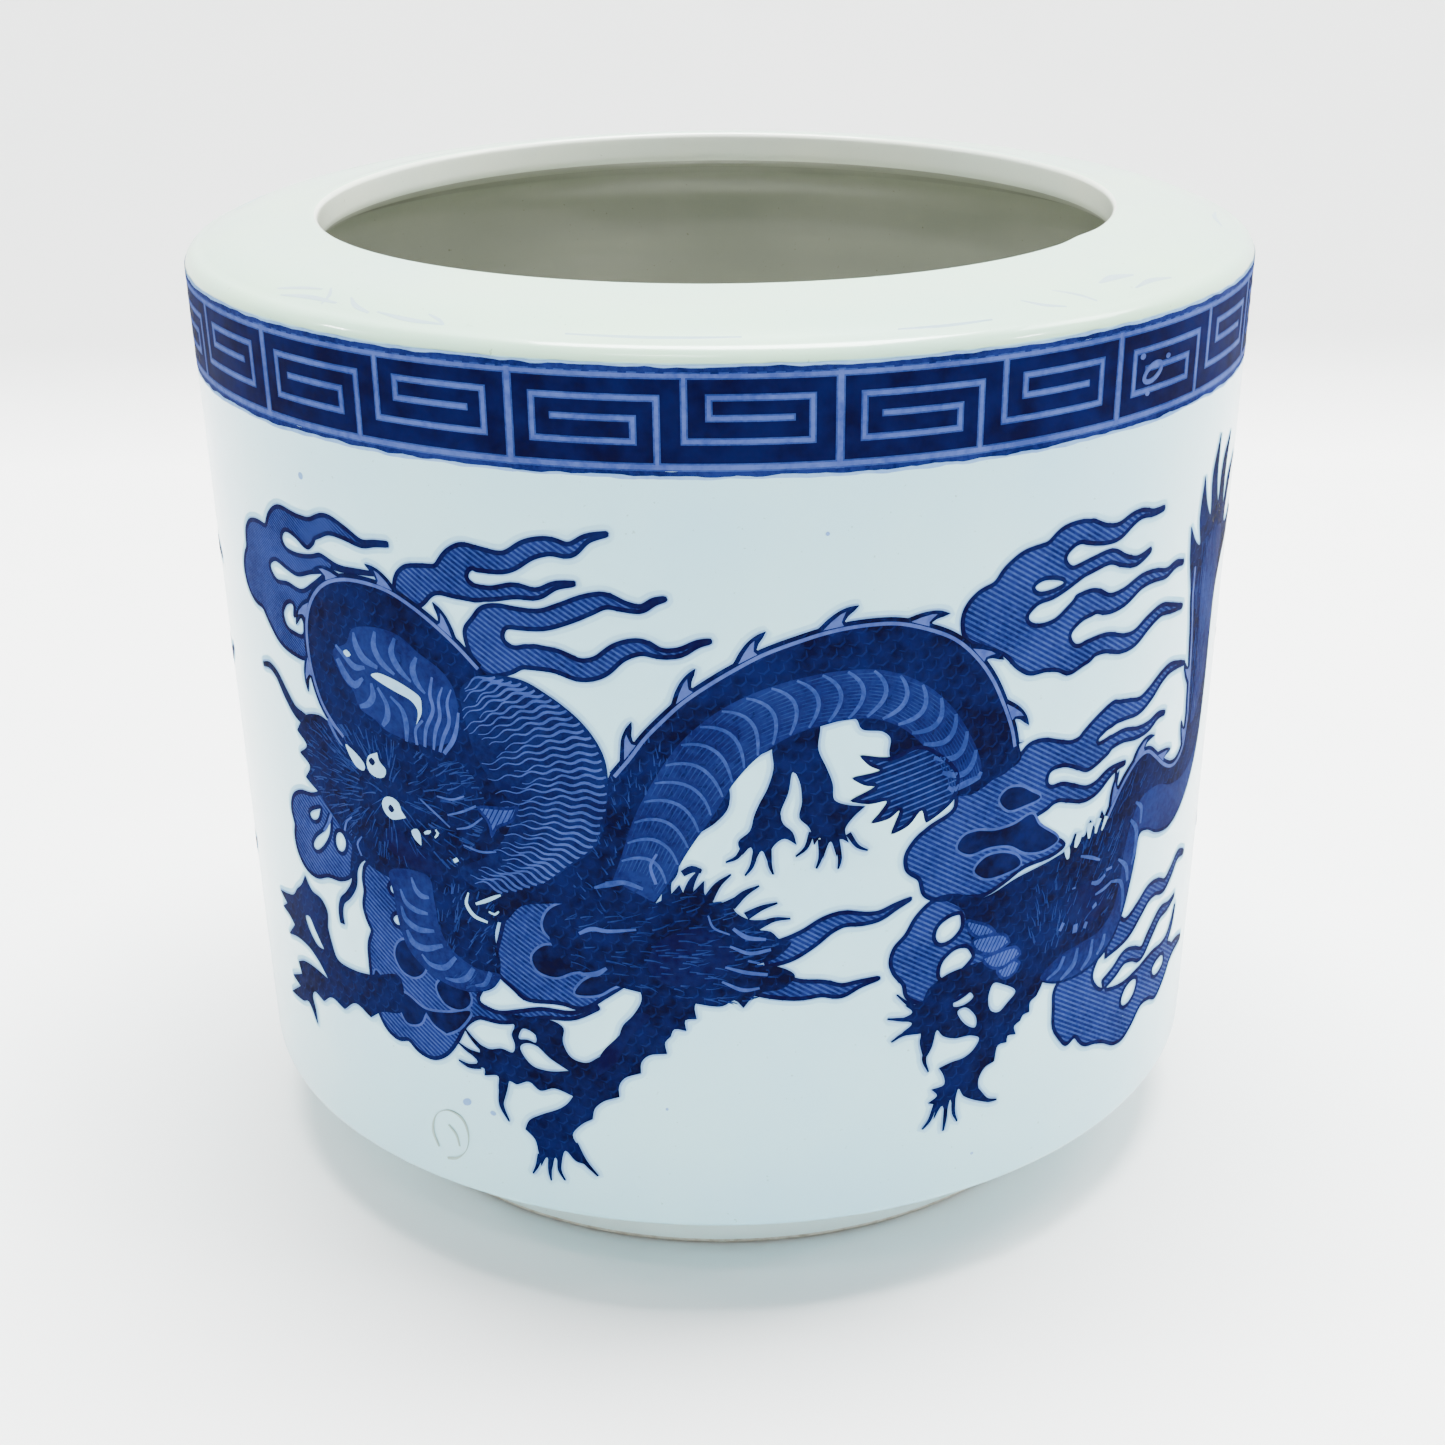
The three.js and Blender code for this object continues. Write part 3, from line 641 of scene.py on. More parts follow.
def anticlockwise(shape):
    """The shape with its points in anticlockwise order, and its area."""
    x, y = shape[:, 0], shape[:, 1]
    area = (np.dot(x, np.roll(y, -1)) - np.dot(y, np.roll(x, -1))) / 2
    return (shape, area) if area > 0 else (shape[::-1], -area)


def covered(shapes, holes=(), clip=()):
    """Triangles over the shapes, less the holes, and only inside the clip shapes."""
    groups = [shapes, holes, clip]
    points, faces, owner, areas = [], [], [], []
    for index, group in enumerate(groups):
        for shape in group:
            shape, area = anticlockwise(np.asarray(shape, float)[:, :2])
            if area < 1e-3:
                continue
            faces.append(list(range(len(points), len(points) + len(shape))))
            points += [Vector(p) for p in shape]
            owner.append(index)
            areas.append(area)
    flat = np.array(points)
    low, high = flat.min(axis=0), flat.max(axis=0)
    edges = []
    for u in np.arange(math.ceil(low[0] / CUT_STEP) * CUT_STEP, high[0], CUT_STEP):
        edges.append((len(points), len(points) + 1))
        points += [Vector((u, low[1] - 0.1)), Vector((u, high[1] + 0.1))]
    made = delaunay_2d_cdt(points, edges, faces, 0, 1e-5, True)
    places, triangles, sources = np.array(made[0]), made[2], made[5]
    filled = np.zeros(len(faces))
    for triangle, source in zip(triangles, sources):
        a, b, c = places[triangle]
        size = abs((b[0] - a[0]) * (c[1] - a[1]) - (b[1] - a[1]) * (c[0] - a[0])) / 2
        for i in source:
            filled[i] += size
    sound = filled < np.array(areas) * 1.5 + 0.05
    kept = []
    for triangle, source in zip(triangles, sources):
        kinds = {owner[i] for i in source if sound[i]}
        if 0 in kinds and 1 not in kinds and (not clip or 2 in kinds):
            kept.append(tuple(triangle))
    return places, kept


def rims(triangles):
    """The loops of vertices round a set of triangles, with the covered side on the left."""
    open_edges = {}
    seen = {(t[k], t[(k + 1) % 3]) for t in triangles for k in range(3)}
    for a, b in seen:
        if (b, a) not in seen:
            open_edges.setdefault(a, []).append(b)
    loops = []
    while open_edges:
        start = next(iter(open_edges))
        loop, here = [start], start
        while True:
            following = open_edges[here]
            here_next = following.pop()
            if not following:
                del open_edges[here]
            here = here_next
            if here == start or here not in open_edges:
                break
            loop.append(here)
        if len(loop) > 2:
            loops.append(loop)
    return loops


def edging(flat, inner, outer):
    """Ribbons along the rims of a covered area: inner millimetres inside, outer outside."""
    places, triangles = flat
    ribbons = []
    for loop in rims(triangles):
        ring = np.vstack([places[loop], places[loop[0]]])
        travel = walk(ring)
        if travel[-1] < SHORTEST_RIM:
            continue
        marks = np.linspace(0, travel[-1], max(6, round(travel[-1] / EDGE_STEP)) + 1)[:-1]
        ring = np.column_stack([np.interp(marks, travel, ring[:, k]) for k in (0, 1)])
        ring = (np.roll(ring, 1, axis=0) + 3 * ring + np.roll(ring, -1, axis=0)) / 5
        closed = np.vstack([ring[-2:], ring, ring[:3]])
        ribbons += quads(closed, inner, outer)[4:-4]
    return ribbons


def hatching(flat, pitch, width, tilt):
    """Parallel lines across a covered area, pitch apart, running at tilt degrees."""
    places, triangles = flat
    turn = math.radians(tilt)
    along = np.array([math.cos(turn), math.sin(turn)])
    across = np.array([-along[1], along[0]])
    edges = []
    for loop in rims(triangles):
        edges += [(places[a], places[b]) for a, b in zip(loop, loop[1:] + loop[:1])]
    starts = np.array([a for a, b in edges])
    ends = np.array([b for a, b in edges])
    lower, upper = starts @ across, ends @ across
    lines = []
    first = math.floor(min(lower) / pitch)
    for k in range(first, math.ceil(max(lower) / pitch)):
        level = (k + 0.5) * pitch
        hit = (lower < level) != (upper < level)
        share = (level - lower[hit]) / (upper[hit] - lower[hit])
        places_hit = starts[hit] + (ends[hit] - starts[hit]) * share[:, None]
        stops = np.sort(places_hit @ along)
        for left, right in zip(stops[0::2], stops[1::2]):
            if right - left < SHORTEST_HATCH:
                continue
            a, b = along * left + across * level, along * right + across * level
            side = across * width / 2
            lines.append(np.array([a - side, b - side, b + side, a + side]))
    return lines


def on_side(u, z, out):
    """A place on the side of the pot, out millimetres above its glaze, in metres."""
    angle = -math.pi / 2 + u / SHOULDER_RADIUS
    radius, height = warp(side_radius(z), angle, z)
    return ((radius + out) * math.cos(angle) * MM, (radius + out) * math.sin(angle) * MM,
            height * MM)


def on_collar(u, inward, out):
    """A place on top of the collar, inward millimetres from the shoulder, in metres."""
    angle = -math.pi / 2 + u / SHOULDER_RADIUS
    flat = SHOULDER_RADIUS - inward
    radius, height = warp(flat, angle, np.interp(-flat, COLLAR_TOP[0], COLLAR_TOP[1]))
    return (radius * math.cos(angle) * MM, radius * math.sin(angle) * MM, (height + out) * MM)


def wrap(name, flat, out, finish, turns=(0.0,), surface=on_side):
    """Lays a covered area on the pot as a thin closed solid, out millimetres thick."""
    places, triangles = flat
    used = sorted({i for t in triangles for i in t})
    order = {v: i for i, v in enumerate(used)}
    count = len(used)
    loops = rims(triangles)
    verts, faces, normals = [], [], []
    for turn in turns:
        base = len(verts)
        for depth in (out, -SINK):
            for v in used:
                u = places[v][0] + turn
                verts.append(surface(u, places[v][1], depth))
                angle = -math.pi / 2 + u / SHOULDER_RADIUS
                level = (math.cos(angle), math.sin(angle), -0.02)
                normals.append(level if surface is on_side else (0.0, 0.0, 1.0))
        for t in triangles:
            a, b, c = (base + order[v] for v in t)
            faces.append((a, b, c))
            faces.append((c + count, b + count, a + count))
        for loop in loops:
            for v, w in zip(loop, loop[1:] + loop[:1]):
                a, b = base + order[v], base + order[w]
                faces.append((b, a, a + count, b + count))
    piece = make_piece(name, verts, faces, finish)
    piece.data.normals_split_custom_set_from_vertices(normals)
    return piece


def make_piece(name, verts, faces, finish):
    """A smooth mesh object that rides on the pot."""
    mesh = bpy.data.meshes.new(name)
    mesh.from_pydata(verts, [], faces)
    mesh.validate()
    mesh.materials.append(finish)
    mesh.polygons.foreach_set("use_smooth", [True] * len(mesh.polygons))
    piece = bpy.data.objects.new(name, mesh)
    bpy.context.scene.collection.objects.link(piece)
    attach(piece, "root")
    return piece


# ------------------------------------------------------------------ finishes

def new_finish(name):
    """An empty node material, its principled shader and a place to add nodes."""
    finish = bpy.data.materials.new(name)
    finish.use_nodes = True
    nodes = finish.node_tree.nodes
    shader = nodes["Principled BSDF"]
    return finish, nodes, finish.node_tree.links, shader


def noise_node(nodes, links, scale, detail, roughness):
    """Noise in the object's own frame, scale cells to the metre."""
    place = nodes.new("ShaderNodeTexCoord")
    cloud = nodes.new("ShaderNodeTexNoise")
    cloud.inputs["Scale"].default_value = scale
    cloud.inputs["Detail"].default_value = detail
    cloud.inputs["Roughness"].default_value = roughness
    links.new(place.outputs["Object"], cloud.inputs["Vector"])
    return cloud.outputs["Fac"]


def ramp(nodes, links, source, stops):
    """A colour ramp fed by source, with (place, colour) stops."""
    scale = nodes.new("ShaderNodeValToRGB")
    elements = scale.color_ramp.elements
    elements[0].position, elements[0].color = stops[0][0], (*stops[0][1], 1)
    elements[1].position, elements[1].color = stops[-1][0], (*stops[-1][1], 1)
    for place, colour in stops[1:-1]:
        elements.new(place).color = (*colour, 1)
    links.new(source, scale.inputs["Fac"])
    return scale.outputs["Color"]


def ink(name, dark, light, speck=900.0):
    """Cobalt under glaze: the blue pools dark and light, and the glaze over it shines."""
    finish, nodes, links, shader = new_finish(name)
    fine = noise_node(nodes, links, speck, 3.0, 0.6)
    wide = noise_node(nodes, links, 120.0, 3.0, 0.5)
    both = nodes.new("ShaderNodeMath")
    both.operation = "ADD"
    links.new(fine, both.inputs[0])
    links.new(wide, both.inputs[1])
    half = nodes.new("ShaderNodeMath")
    half.operation = "MULTIPLY"
    half.inputs[1].default_value = 0.5
    links.new(both.outputs[0], half.inputs[0])
    middle = tuple((a + b) / 2 for a, b in zip(dark, light))
    colour = ramp(nodes, links, half.outputs[0], [(0.4, dark), (0.5, middle), (0.62, light)])
    links.new(colour, shader.inputs["Base Color"])
    shader.inputs["Roughness"].default_value = 0.4
    shader.inputs["Specular IOR Level"].default_value = 0.0
    shader.inputs["Coat Weight"].default_value = 0.04
    shader.inputs["Coat Roughness"].default_value = 0.06
    return finish


def glaze(name, cool, warm):
    """Clear glaze on white porcelain: cool and pooled, with pin specks and a soft shine."""
    finish, nodes, links, shader = new_finish(name)
    wide = noise_node(nodes, links, 45.0, 3.0, 0.5)
    colour = ramp(nodes, links, wide, [(0.3, warm), (0.7, cool)])
    pits = noise_node(nodes, links, 1500.0, 2.0, 0.5)
    dots = ramp(nodes, links, pits, [(0.0, (0.55, 0.55, 0.5)), (0.235, (0.7, 0.7, 0.66)),
                                     (0.27, (1, 1, 1))])
    mixed = nodes.new("ShaderNodeMix")
    mixed.data_type = "RGBA"
    mixed.blend_type = "MULTIPLY"
    mixed.inputs[0].default_value = 1.0
    links.new(colour, mixed.inputs[6])
    links.new(dots, mixed.inputs[7])
    links.new(mixed.outputs[2], shader.inputs["Base Color"])
    swell = noise_node(nodes, links, 260.0, 3.0, 0.5)
    bump = nodes.new("ShaderNodeBump")
    bump.inputs["Strength"].default_value = 0.06
    bump.inputs["Distance"].default_value = 0.0006
    links.new(swell, bump.inputs["Height"])
    links.new(bump.outputs["Normal"], shader.inputs["Normal"])
    shader.inputs["Roughness"].default_value = 0.28
    shader.inputs["Coat Weight"].default_value = 0.7
    shader.inputs["Coat Roughness"].default_value = 0.05
    return finish


def biscuit(name):
    """Bare fired clay on the tread of the foot: warm, gritty and matt."""
    finish, nodes, links, shader = new_finish(name)
    grit = noise_node(nodes, links, 900.0, 5.0, 0.65)
    colour = ramp(nodes, links, grit, [(0.3, (0.42, 0.34, 0.25)), (0.5, (0.62, 0.56, 0.46)),
                                       (0.75, (0.72, 0.69, 0.6))])
    links.new(colour, shader.inputs["Base Color"])
    bump = nodes.new("ShaderNodeBump")
    bump.inputs["Strength"].default_value = 0.4
    bump.inputs["Distance"].default_value = 0.0003
    links.new(grit, bump.inputs["Height"])
    links.new(bump.outputs["Normal"], shader.inputs["Normal"])
    shader.inputs["Roughness"].default_value = 0.8
    return finish


INK_LINE = ink("ink_line", (0.0004, 0.0, 0.02), (0.002, 0.005, 0.044))
INK_DARK = ink("ink_dark", (0.0, 0.0, 0.012), (0.0012, 0.0042, 0.044), 620.0)
INK_FRET = ink("ink_fret", (0.0, 0.0, 0.016), (0.0005, 0.0025, 0.038), 320.0)
INK_WASH = ink("ink_wash", (0.01, 0.024, 0.12), (0.026, 0.05, 0.19), 1300.0)
INK_HATCH = ink("ink_hatch", (0.001, 0.004, 0.045), (0.008, 0.016, 0.1), 1500.0)
INK_BELLY = ink("ink_belly", (0.002, 0.004, 0.045), (0.006, 0.014, 0.085), 1200.0)
INK_SCALE = ink("ink_scale", (0.0005, 0.002, 0.03), (0.003, 0.009, 0.062), 1200.0)
INK_HATCH_PALE = ink("ink_hatch_pale", (0.003, 0.01, 0.07), (0.012, 0.026, 0.118))
INK_PALE = ink("ink_pale", (0.018, 0.036, 0.15), (0.034, 0.06, 0.22))
INK_SPINE = ink("ink_spine", (0.03, 0.05, 0.19), (0.055, 0.085, 0.26))
INK_WHITE = ink("ink_white", (0.2, 0.38, 0.55), (0.28, 0.46, 0.6))
INK_HALO = ink("ink_halo", (0.12, 0.24, 0.48), (0.18, 0.33, 0.54))
INK_BLEED = ink("ink_bleed", (0.25, 0.47, 0.61), (0.29, 0.52, 0.62))
GLAZE = glaze("glaze_side", (0.26, 0.55, 0.66), (0.31, 0.6, 0.66))
# Foot glaze: much lighter than the side glaze, as painted light on the foot ring, which stands in the shadow
# under the pot.
GLAZE_FOOT_PAINTED_LIGHT = glaze("glaze_foot_painted_light", (0.74, 0.9, 0.88), (0.78, 0.92, 0.88))
GLAZE_COLLAR = glaze("glaze_collar", (0.34, 0.57, 0.45), (0.39, 0.62, 0.42))
# Inside glaze: far darker than the outside glaze, as painted shade for the hollow inside the pot.
GLAZE_INSIDE_PAINTED_SHADE = glaze("glaze_inside_painted_shade", (0.285, 0.305, 0.25), (0.33, 0.345, 0.285))
# Lip glaze: lighter than the collar glaze, as painted light on the inner face of the lip, which sits in
# shade.
GLAZE_LIP_PAINTED_LIGHT = glaze("glaze_lip_painted_light", (0.66, 0.76, 0.66), (0.74, 0.8, 0.66))
GLAZE_SMUDGE = glaze("glaze_smudge", (0.17, 0.32, 0.42), (0.27, 0.46, 0.46))
GLAZE_SCAR = glaze("glaze_scar", (0.1, 0.2, 0.18), (0.2, 0.34, 0.3))
BARE_CLAY = biscuit("bare_clay")


# ------------------------------------------------------------------ the clay body

def arc(centre, height, bend, start, end, steps):
    """Points of an arc in the (radius, height) half plane, its angles in degrees."""
    turns = [math.radians(start + (end - start) * i / steps) for i in range(steps + 1)]
    return [(centre + bend * math.cos(t), height + bend * math.sin(t)) for t in turns]


def line(start, end, steps):
    """Points along a straight line in the half plane, without the last one."""
    return [(start[0] + (end[0] - start[0]) * i / steps, start[1] + (end[1] - start[1]) * i / steps)
            for i in range(steps)]


def lathe(name, profile, finishes, finish_of, hidden):
    """Turns a closed anticlockwise outline round the axis. hidden says which edges are joints."""
    steps = len(profile)
    flat = np.array(profile)
    ahead = np.roll(flat, -1, axis=0) - flat
    ahead /= np.maximum(1e-9, np.linalg.norm(ahead, axis=1))[:, None]
    middles = (flat + np.roll(flat, -1, axis=0)) / 2
    shown = np.array([0.0 if hidden(m) else 1.0 for m in middles])
    facing = np.column_stack([ahead[:, 1], -ahead[:, 0]]) * shown[:, None]
    facing = facing + np.roll(facing, 1, axis=0)
    verts, faces, normals, picks = [], [], [], []
    for j in range(TURNS):
        angle = 2 * math.pi * j / TURNS
        following = (j + 1) % TURNS
        for i, (radius, height) in enumerate(profile):
            r, z = warp(radius, angle, height)
            verts.append((r * math.cos(angle) * MM, r * math.sin(angle) * MM, z * MM))
            out, up = facing[i] if np.any(facing[i]) else (0.0, 1.0)
            normals.append(Vector((out * math.cos(angle), out * math.sin(angle), up)).normalized())
            k = (i + 1) % steps
            faces.append((j * steps + i, following * steps + i, following * steps + k,
                          j * steps + k))
            picks.append(finish_of(middles[i]))
    piece = make_piece(name, verts, faces, finishes[0])
    for extra in finishes[1:]:
        piece.data.materials.append(extra)
    piece.data.polygons.foreach_set("material_index", picks)
    piece.data.normals_split_custom_set_from_vertices(normals)
    return piece


def collar_profile():
    """The collar's section: skirt, rounded shoulder, low dome, flat lip and hollow corner."""
    lip_radius = MOUTH_RADIUS + LIP_ROUND
    centre = SHOULDER_RADIUS - SHOULDER_ROUND
    slope = math.atan2(COLLAR_RISE - SHOULDER_ROUND, centre - lip_radius)
    shoulder = arc(centre, SHOULDER_HEIGHT, SHOULDER_ROUND, 0, 90 - math.degrees(slope), 12)
    start = shoulder[-1]
    dome = []
    for i in range(1, 22):
        share = i / 22
        cone = start[1] + (CREST_HEIGHT - start[1]) * share
        dome.append((start[0] + (lip_radius - start[0]) * share,
                     cone + DOME_RISE * 4 * share * (1 - share) ** 2))
    skirt = line((side_radius(COLLAR_JOINT), COLLAR_JOINT), shoulder[0], 5)
    edge = arc(lip_radius, CREST_HEIGHT - LIP_ROUND, LIP_ROUND, 90, 180, 7)
    bend = LIP_UNDER_ROUND
    lower = arc(MOUTH_RADIUS + bend, CREST_HEIGHT - LIP_THICKNESS + bend, bend, 180, 270, 10)
    face = line(edge[-1], lower[0], 4)
    cavity = side_radius(COLLAR_JOINT) - WALL_THICKNESS
    corner = arc(cavity - INSIDE_ROUND, COLLAR_JOINT, INSIDE_ROUND, 75, 0, 10)
    under = line(lower[-1], corner[0], 10)
    return skirt + shoulder + dome + edge[:-1] + face + lower[:-1] + under + corner


COLLAR_TOP = np.array([(-radius, height) for radius, height in collar_profile()
                       if height > SHOULDER_HEIGHT + 1 and radius > MOUTH_RADIUS + 0.5]).T


def wall_profile():
    """The wall's section, outside going up and inside coming down to the hollow corner."""
    outside = line((side_radius(FLOOR_TOP), FLOOR_TOP), (side_radius(COLLAR_JOINT), COLLAR_JOINT), 64)
    top = (side_radius(COLLAR_JOINT), COLLAR_JOINT)
    cavity_low = side_radius(FLOOR_TOP) - WALL_THICKNESS
    cavity_high = side_radius(COLLAR_JOINT) - WALL_THICKNESS
    corner = arc(cavity_low - INSIDE_ROUND, FLOOR_TOP + INSIDE_ROUND, INSIDE_ROUND, 0, -90, 12)
    inside = line((cavity_high, COLLAR_JOINT), corner[0], 96)
    thrown = []
    for radius, height in inside:
        share = min(1.0, (COLLAR_JOINT - height) / 6, (height - FLOOR_TOP - INSIDE_ROUND) / 6)
        ridge = 0.16 * math.sin(height * 1.05) + 0.1 * math.sin(height * 0.43 + 1)
        thrown.append((radius + ridge * max(0.0, share), height))
    return outside + [top] + thrown + corner


def floor_profile():
    """The floor's section, with the rounded heel of the pot as its rim."""
    heel = arc(side_radius(HEEL_HEIGHT) - HEEL_ROUND, HEEL_HEIGHT + HEEL_ROUND, HEEL_ROUND, -90, 0, 8)
    rim = (side_radius(FLOOR_TOP), FLOOR_TOP)
    under = line((0.01, HEEL_HEIGHT), heel[0], 24)
    side = line(heel[-1], rim, 4)
    over = line(rim, (0.01, FLOOR_TOP), 24)
    return under + heel[:-1] + side + over + [(0.01, FLOOR_TOP)]


def foot_profile():
    """The foot ring's section: a flat tread with a worn bevel on each side."""
    outer = FOOT_RADIUS - FOOT_BEVEL
    inner = outer - FOOT_TREAD
    edge = inner - FOOT_BEVEL
    out_bend = arc(outer, FOOT_BEVEL, FOOT_BEVEL, -90, 0, 6)
    in_bend = arc(inner, FOOT_BEVEL, FOOT_BEVEL, 180, 270, 6)
    outside = line(out_bend[-1], (FOOT_RADIUS, HEEL_HEIGHT), 6)
    over = line((FOOT_RADIUS, HEEL_HEIGHT), (edge, HEEL_HEIGHT), 3)
    inside = line((edge, HEEL_HEIGHT), in_bend[0], 6)
    return line(in_bend[-1], out_bend[0], 4) + out_bend[:-1] + outside + over + inside + in_bend[:-1]


def collar_finish(point):
    """Which of the collar's four glazes covers a place on its section; the inside one is darkened as painted
    shade and the lip one lightened as painted light.
    """
    if point[0] > SHOULDER_RADIUS - 3.5:
        return int(point[1] < SHOULDER_HEIGHT + 0.5)
    if point[1] < CREST_HEIGHT - 4.2:
        return 2
    return 3 if point[0] < MOUTH_RADIUS + 0.4 else 0


def build_body():
    """The four luted sections of the pot, each standing for its CAD node."""
    # Inside faces take a glaze darkened as painted shade; the inner lip and the foot take glazes lightened
    # as painted light.
    collar = lathe("collar_shell", collar_profile(), [GLAZE_COLLAR, GLAZE, GLAZE_INSIDE_PAINTED_SHADE, GLAZE_LIP_PAINTED_LIGHT],
                   collar_finish, lambda p: p[1] < COLLAR_JOINT + 0.01)
    wall = lathe("wall_shell", wall_profile(), [GLAZE, GLAZE_INSIDE_PAINTED_SHADE],
                 lambda p: 0 if p[0] > side_radius(p[1]) - 2 else 1,
                 lambda p: p[1] > COLLAR_JOINT - 0.01 or p[1] < FLOOR_TOP + 0.01)
    floor = lathe("floor_shell", floor_profile(), [GLAZE, GLAZE_INSIDE_PAINTED_SHADE],
                  lambda p: 1 if p[1] > FLOOR_TOP - 0.1 else 0,
                  lambda p: p[1] > FLOOR_TOP - 0.01 and p[0] > side_radius(FLOOR_TOP) - 4)
    foot = lathe("foot_shell", foot_profile(), [GLAZE_FOOT_PAINTED_LIGHT, BARE_CLAY],
                 lambda p: 1 if p[1] < FOOT_BEVEL * 0.7 else 0,
                 lambda p: p[1] > HEEL_HEIGHT - 0.01)
    for piece, node in ((collar, "rim_collar"), (wall, "wall"), (floor, "floor_disc"),
                        (foot, "foot_ring")):
        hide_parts(node)


# ------------------------------------------------------------------ the fret border

FRET_FOOT = 112.6                 # heights of its two pale border lines
FRET_HEAD = 122.8
FRET_REPEATS = 12
FRET_LEFT = -24.0                 # the first repeat starts here, and the last one ends here
FRET_RIGHT = FRET_LEFT + PRINT_CIRCUMFERENCE
RAGGED_STEP = 0.7                 # length of one piece of the fuzzy lines


def border_lines(thick):
    """The pale lines of the fret: its borders, dividers and two kinds of square spiral."""
    period = PRINT_CIRCUMFERENCE / FRET_REPEATS
    first = [(16.6, 112.7), (16.6, 120.3), (2.7, 120.3), (2.7, 115.4), (14.0, 115.4),
             (14.0, 118.0), (5.1, 118.0)]
    second = [(19.6, 122.7), (19.6, 115.5), (33.6, 115.5), (33.6, 120.4), (22.3, 120.4),
              (22.3, 118.1), (31.3, 118.1)]
    bars = []
    for k in range(FRET_REPEATS):
        start = FRET_LEFT + k * period
        bars.append(bar((start, FRET_FOOT), (start, FRET_HEAD), thick + 0.2))
        for turns in (first, second):
            for a, b in zip(turns, turns[1:]):
                bars.append(bar((start + a[0], a[1]), (start + b[0], b[1]), thick))
    bars.append(bar((FRET_LEFT, FRET_FOOT), (FRET_RIGHT, FRET_FOOT), thick + 0.1))
    bars.append(bar((FRET_LEFT, FRET_HEAD), (FRET_RIGHT, FRET_HEAD), thick))
    return bars


def bar(a, b, width):
    """A straight line of the fret, square at its ends."""
    low_u, high_u = sorted((a[0], b[0]))
    low_z, high_z = sorted((a[1], b[1]))
    half = width / 2
    return np.array([(low_u - half, low_z - half), (high_u + half, low_z - half),
                     (high_u + half, high_z + half), (low_u - half, high_z + half)])


def ragged(level, width, seed):
    """A covered fuzzy line of uneven width all round the pot, at one height."""
    dice = random.Random(seed)
    run = np.linspace(FRET_LEFT, FRET_RIGHT, int((FRET_RIGHT - FRET_LEFT) / RAGGED_STEP))
    grow = np.array([dice.uniform(-1, 1) for _ in run])
    grow = (grow + np.roll(grow, 1) + np.roll(grow, 2)) / 3
    half = width * (0.5 + 0.26 * grow)
    shift = 0.05 * np.sin(run * 0.31) + 0.04 * np.sin(run * 1.3)
    return covered(quads(np.column_stack([run, level + shift]), half, half))


def build_fret():
    """The border under the shoulder: dark ground, pale fret, and a fuzzy line each side."""
    ground = covered([bar((FRET_LEFT + 0.3, 112.4), (FRET_RIGHT - 0.3, 122.9), 0.0)])
    wrap("fret_ground", ground, LIFT["wash"], INK_FRET)
    wrap("fret_lines", covered(border_lines(0.8)), LIFT["fret_lines"], INK_WASH)
    wrap("fret_line_hearts", covered(border_lines(0.42)), LIFT["fret_hearts"], INK_SPINE)
    wrap("fret_foot_line", ragged(111.93, 0.66, 5), LIFT["fret_foot_line"], INK_HATCH)
    wrap("fret_foot_bleed", ragged(111.52, 0.6, 7), LIFT["fret_bleed"], INK_HALO)
    wrap("fret_head_line", ragged(123.4, 0.66, 6), LIFT["fret_head_line"], INK_HATCH)
    wrap("fret_head_bleed", ragged(123.78, 0.5, 8), LIFT["fret_bleed"], INK_HALO)


# ------------------------------------------------------------------ clouds and dragons

PANELS = (0.0, PRINT_CIRCUMFERENCE / 2)
CLOUD_TILT = -32                  # degrees that the hatching of the clouds slopes
CLOUD_PITCH = 0.6                 # distance between hatch lines
FINE_CLOUD_PITCH = 0.4            # the cloud at the top left is hatched finer
CLOUD_FILL = 0.56                 # share of the pitch that a hatch line takes
FINE_STEP = 0.3                   # curve step for what is set out along a curve
BAND_STEP = 0.5                   # curve step for the belly band
SPINE_HALF = 0.22                 # half the width of the pale line along each spine
SCALE_PITCH = 1.75                # distance between scales
PLATE_SPACING = 2.7               # distance between belly plates
PLATE_BULGE = 2.1                 # how far a plate's edge bows forwards
PLATE_EDGE = 0.42                 # width of a plate's pale edge
MANE_STROKES = 42


def bleed(name, whole):
    """The blue that ran into the glaze round a printed area: strong near it, then faint."""
    near = covered(edging(whole, BLEED_UNDER, NEAR_BLEED))
    wrap(name + "_near_bleed", near, LIFT["near_bleed"], INK_HALO, PANELS)
    far = covered(edging(whole, BLEED_UNDER, FAR_BLEED))
    wrap(name + "_far_bleed", far, LIFT["far_bleed"], INK_BLEED, PANELS)


def build_cloud(name, parts):
    """One hatched cloud with its outline, tails and dark pools."""
    whole = covered(outlines(parts.get("bodies", "")) + strokes(parts.get("tails", "")),
                    outlines(parts.get("gaps", "")))
    wrap("cloud_wash_" + name, whole, LIFT["wash"], INK_WASH, PANELS)
    pitch = FINE_CLOUD_PITCH if name == "high_left" else CLOUD_PITCH
    lines = covered(hatching(whole, pitch, pitch * CLOUD_FILL, CLOUD_TILT))
    wrap("cloud_hatch_" + name, lines, LIFT["cloud_hatch"], INK_HATCH, PANELS)
    edge = covered(edging(whole, 0.5, OUTLINE_OUTER))
    wrap("cloud_line_" + name, edge, LIFT["cloud_line"], INK_LINE, PANELS)
    bleed("cloud_" + name, whole)
    if "darks" in parts:
        pools = covered(outlines(parts["darks"]))
        wrap("cloud_pool_" + name, pools, LIFT["pool"], INK_DARK, PANELS)
        pool_edge = covered(edging(pools, 0.0, 0.35))
        wrap("cloud_pool_line_" + name, pool_edge, LIFT["pool_line"], INK_PALE, PANELS)


def walk(curve):
    """The distance along a curve at each of its points."""
    steps = np.linalg.norm(np.diff(curve[:, :2], axis=0), axis=1)
    return np.concatenate([[0.0], np.cumsum(steps)])


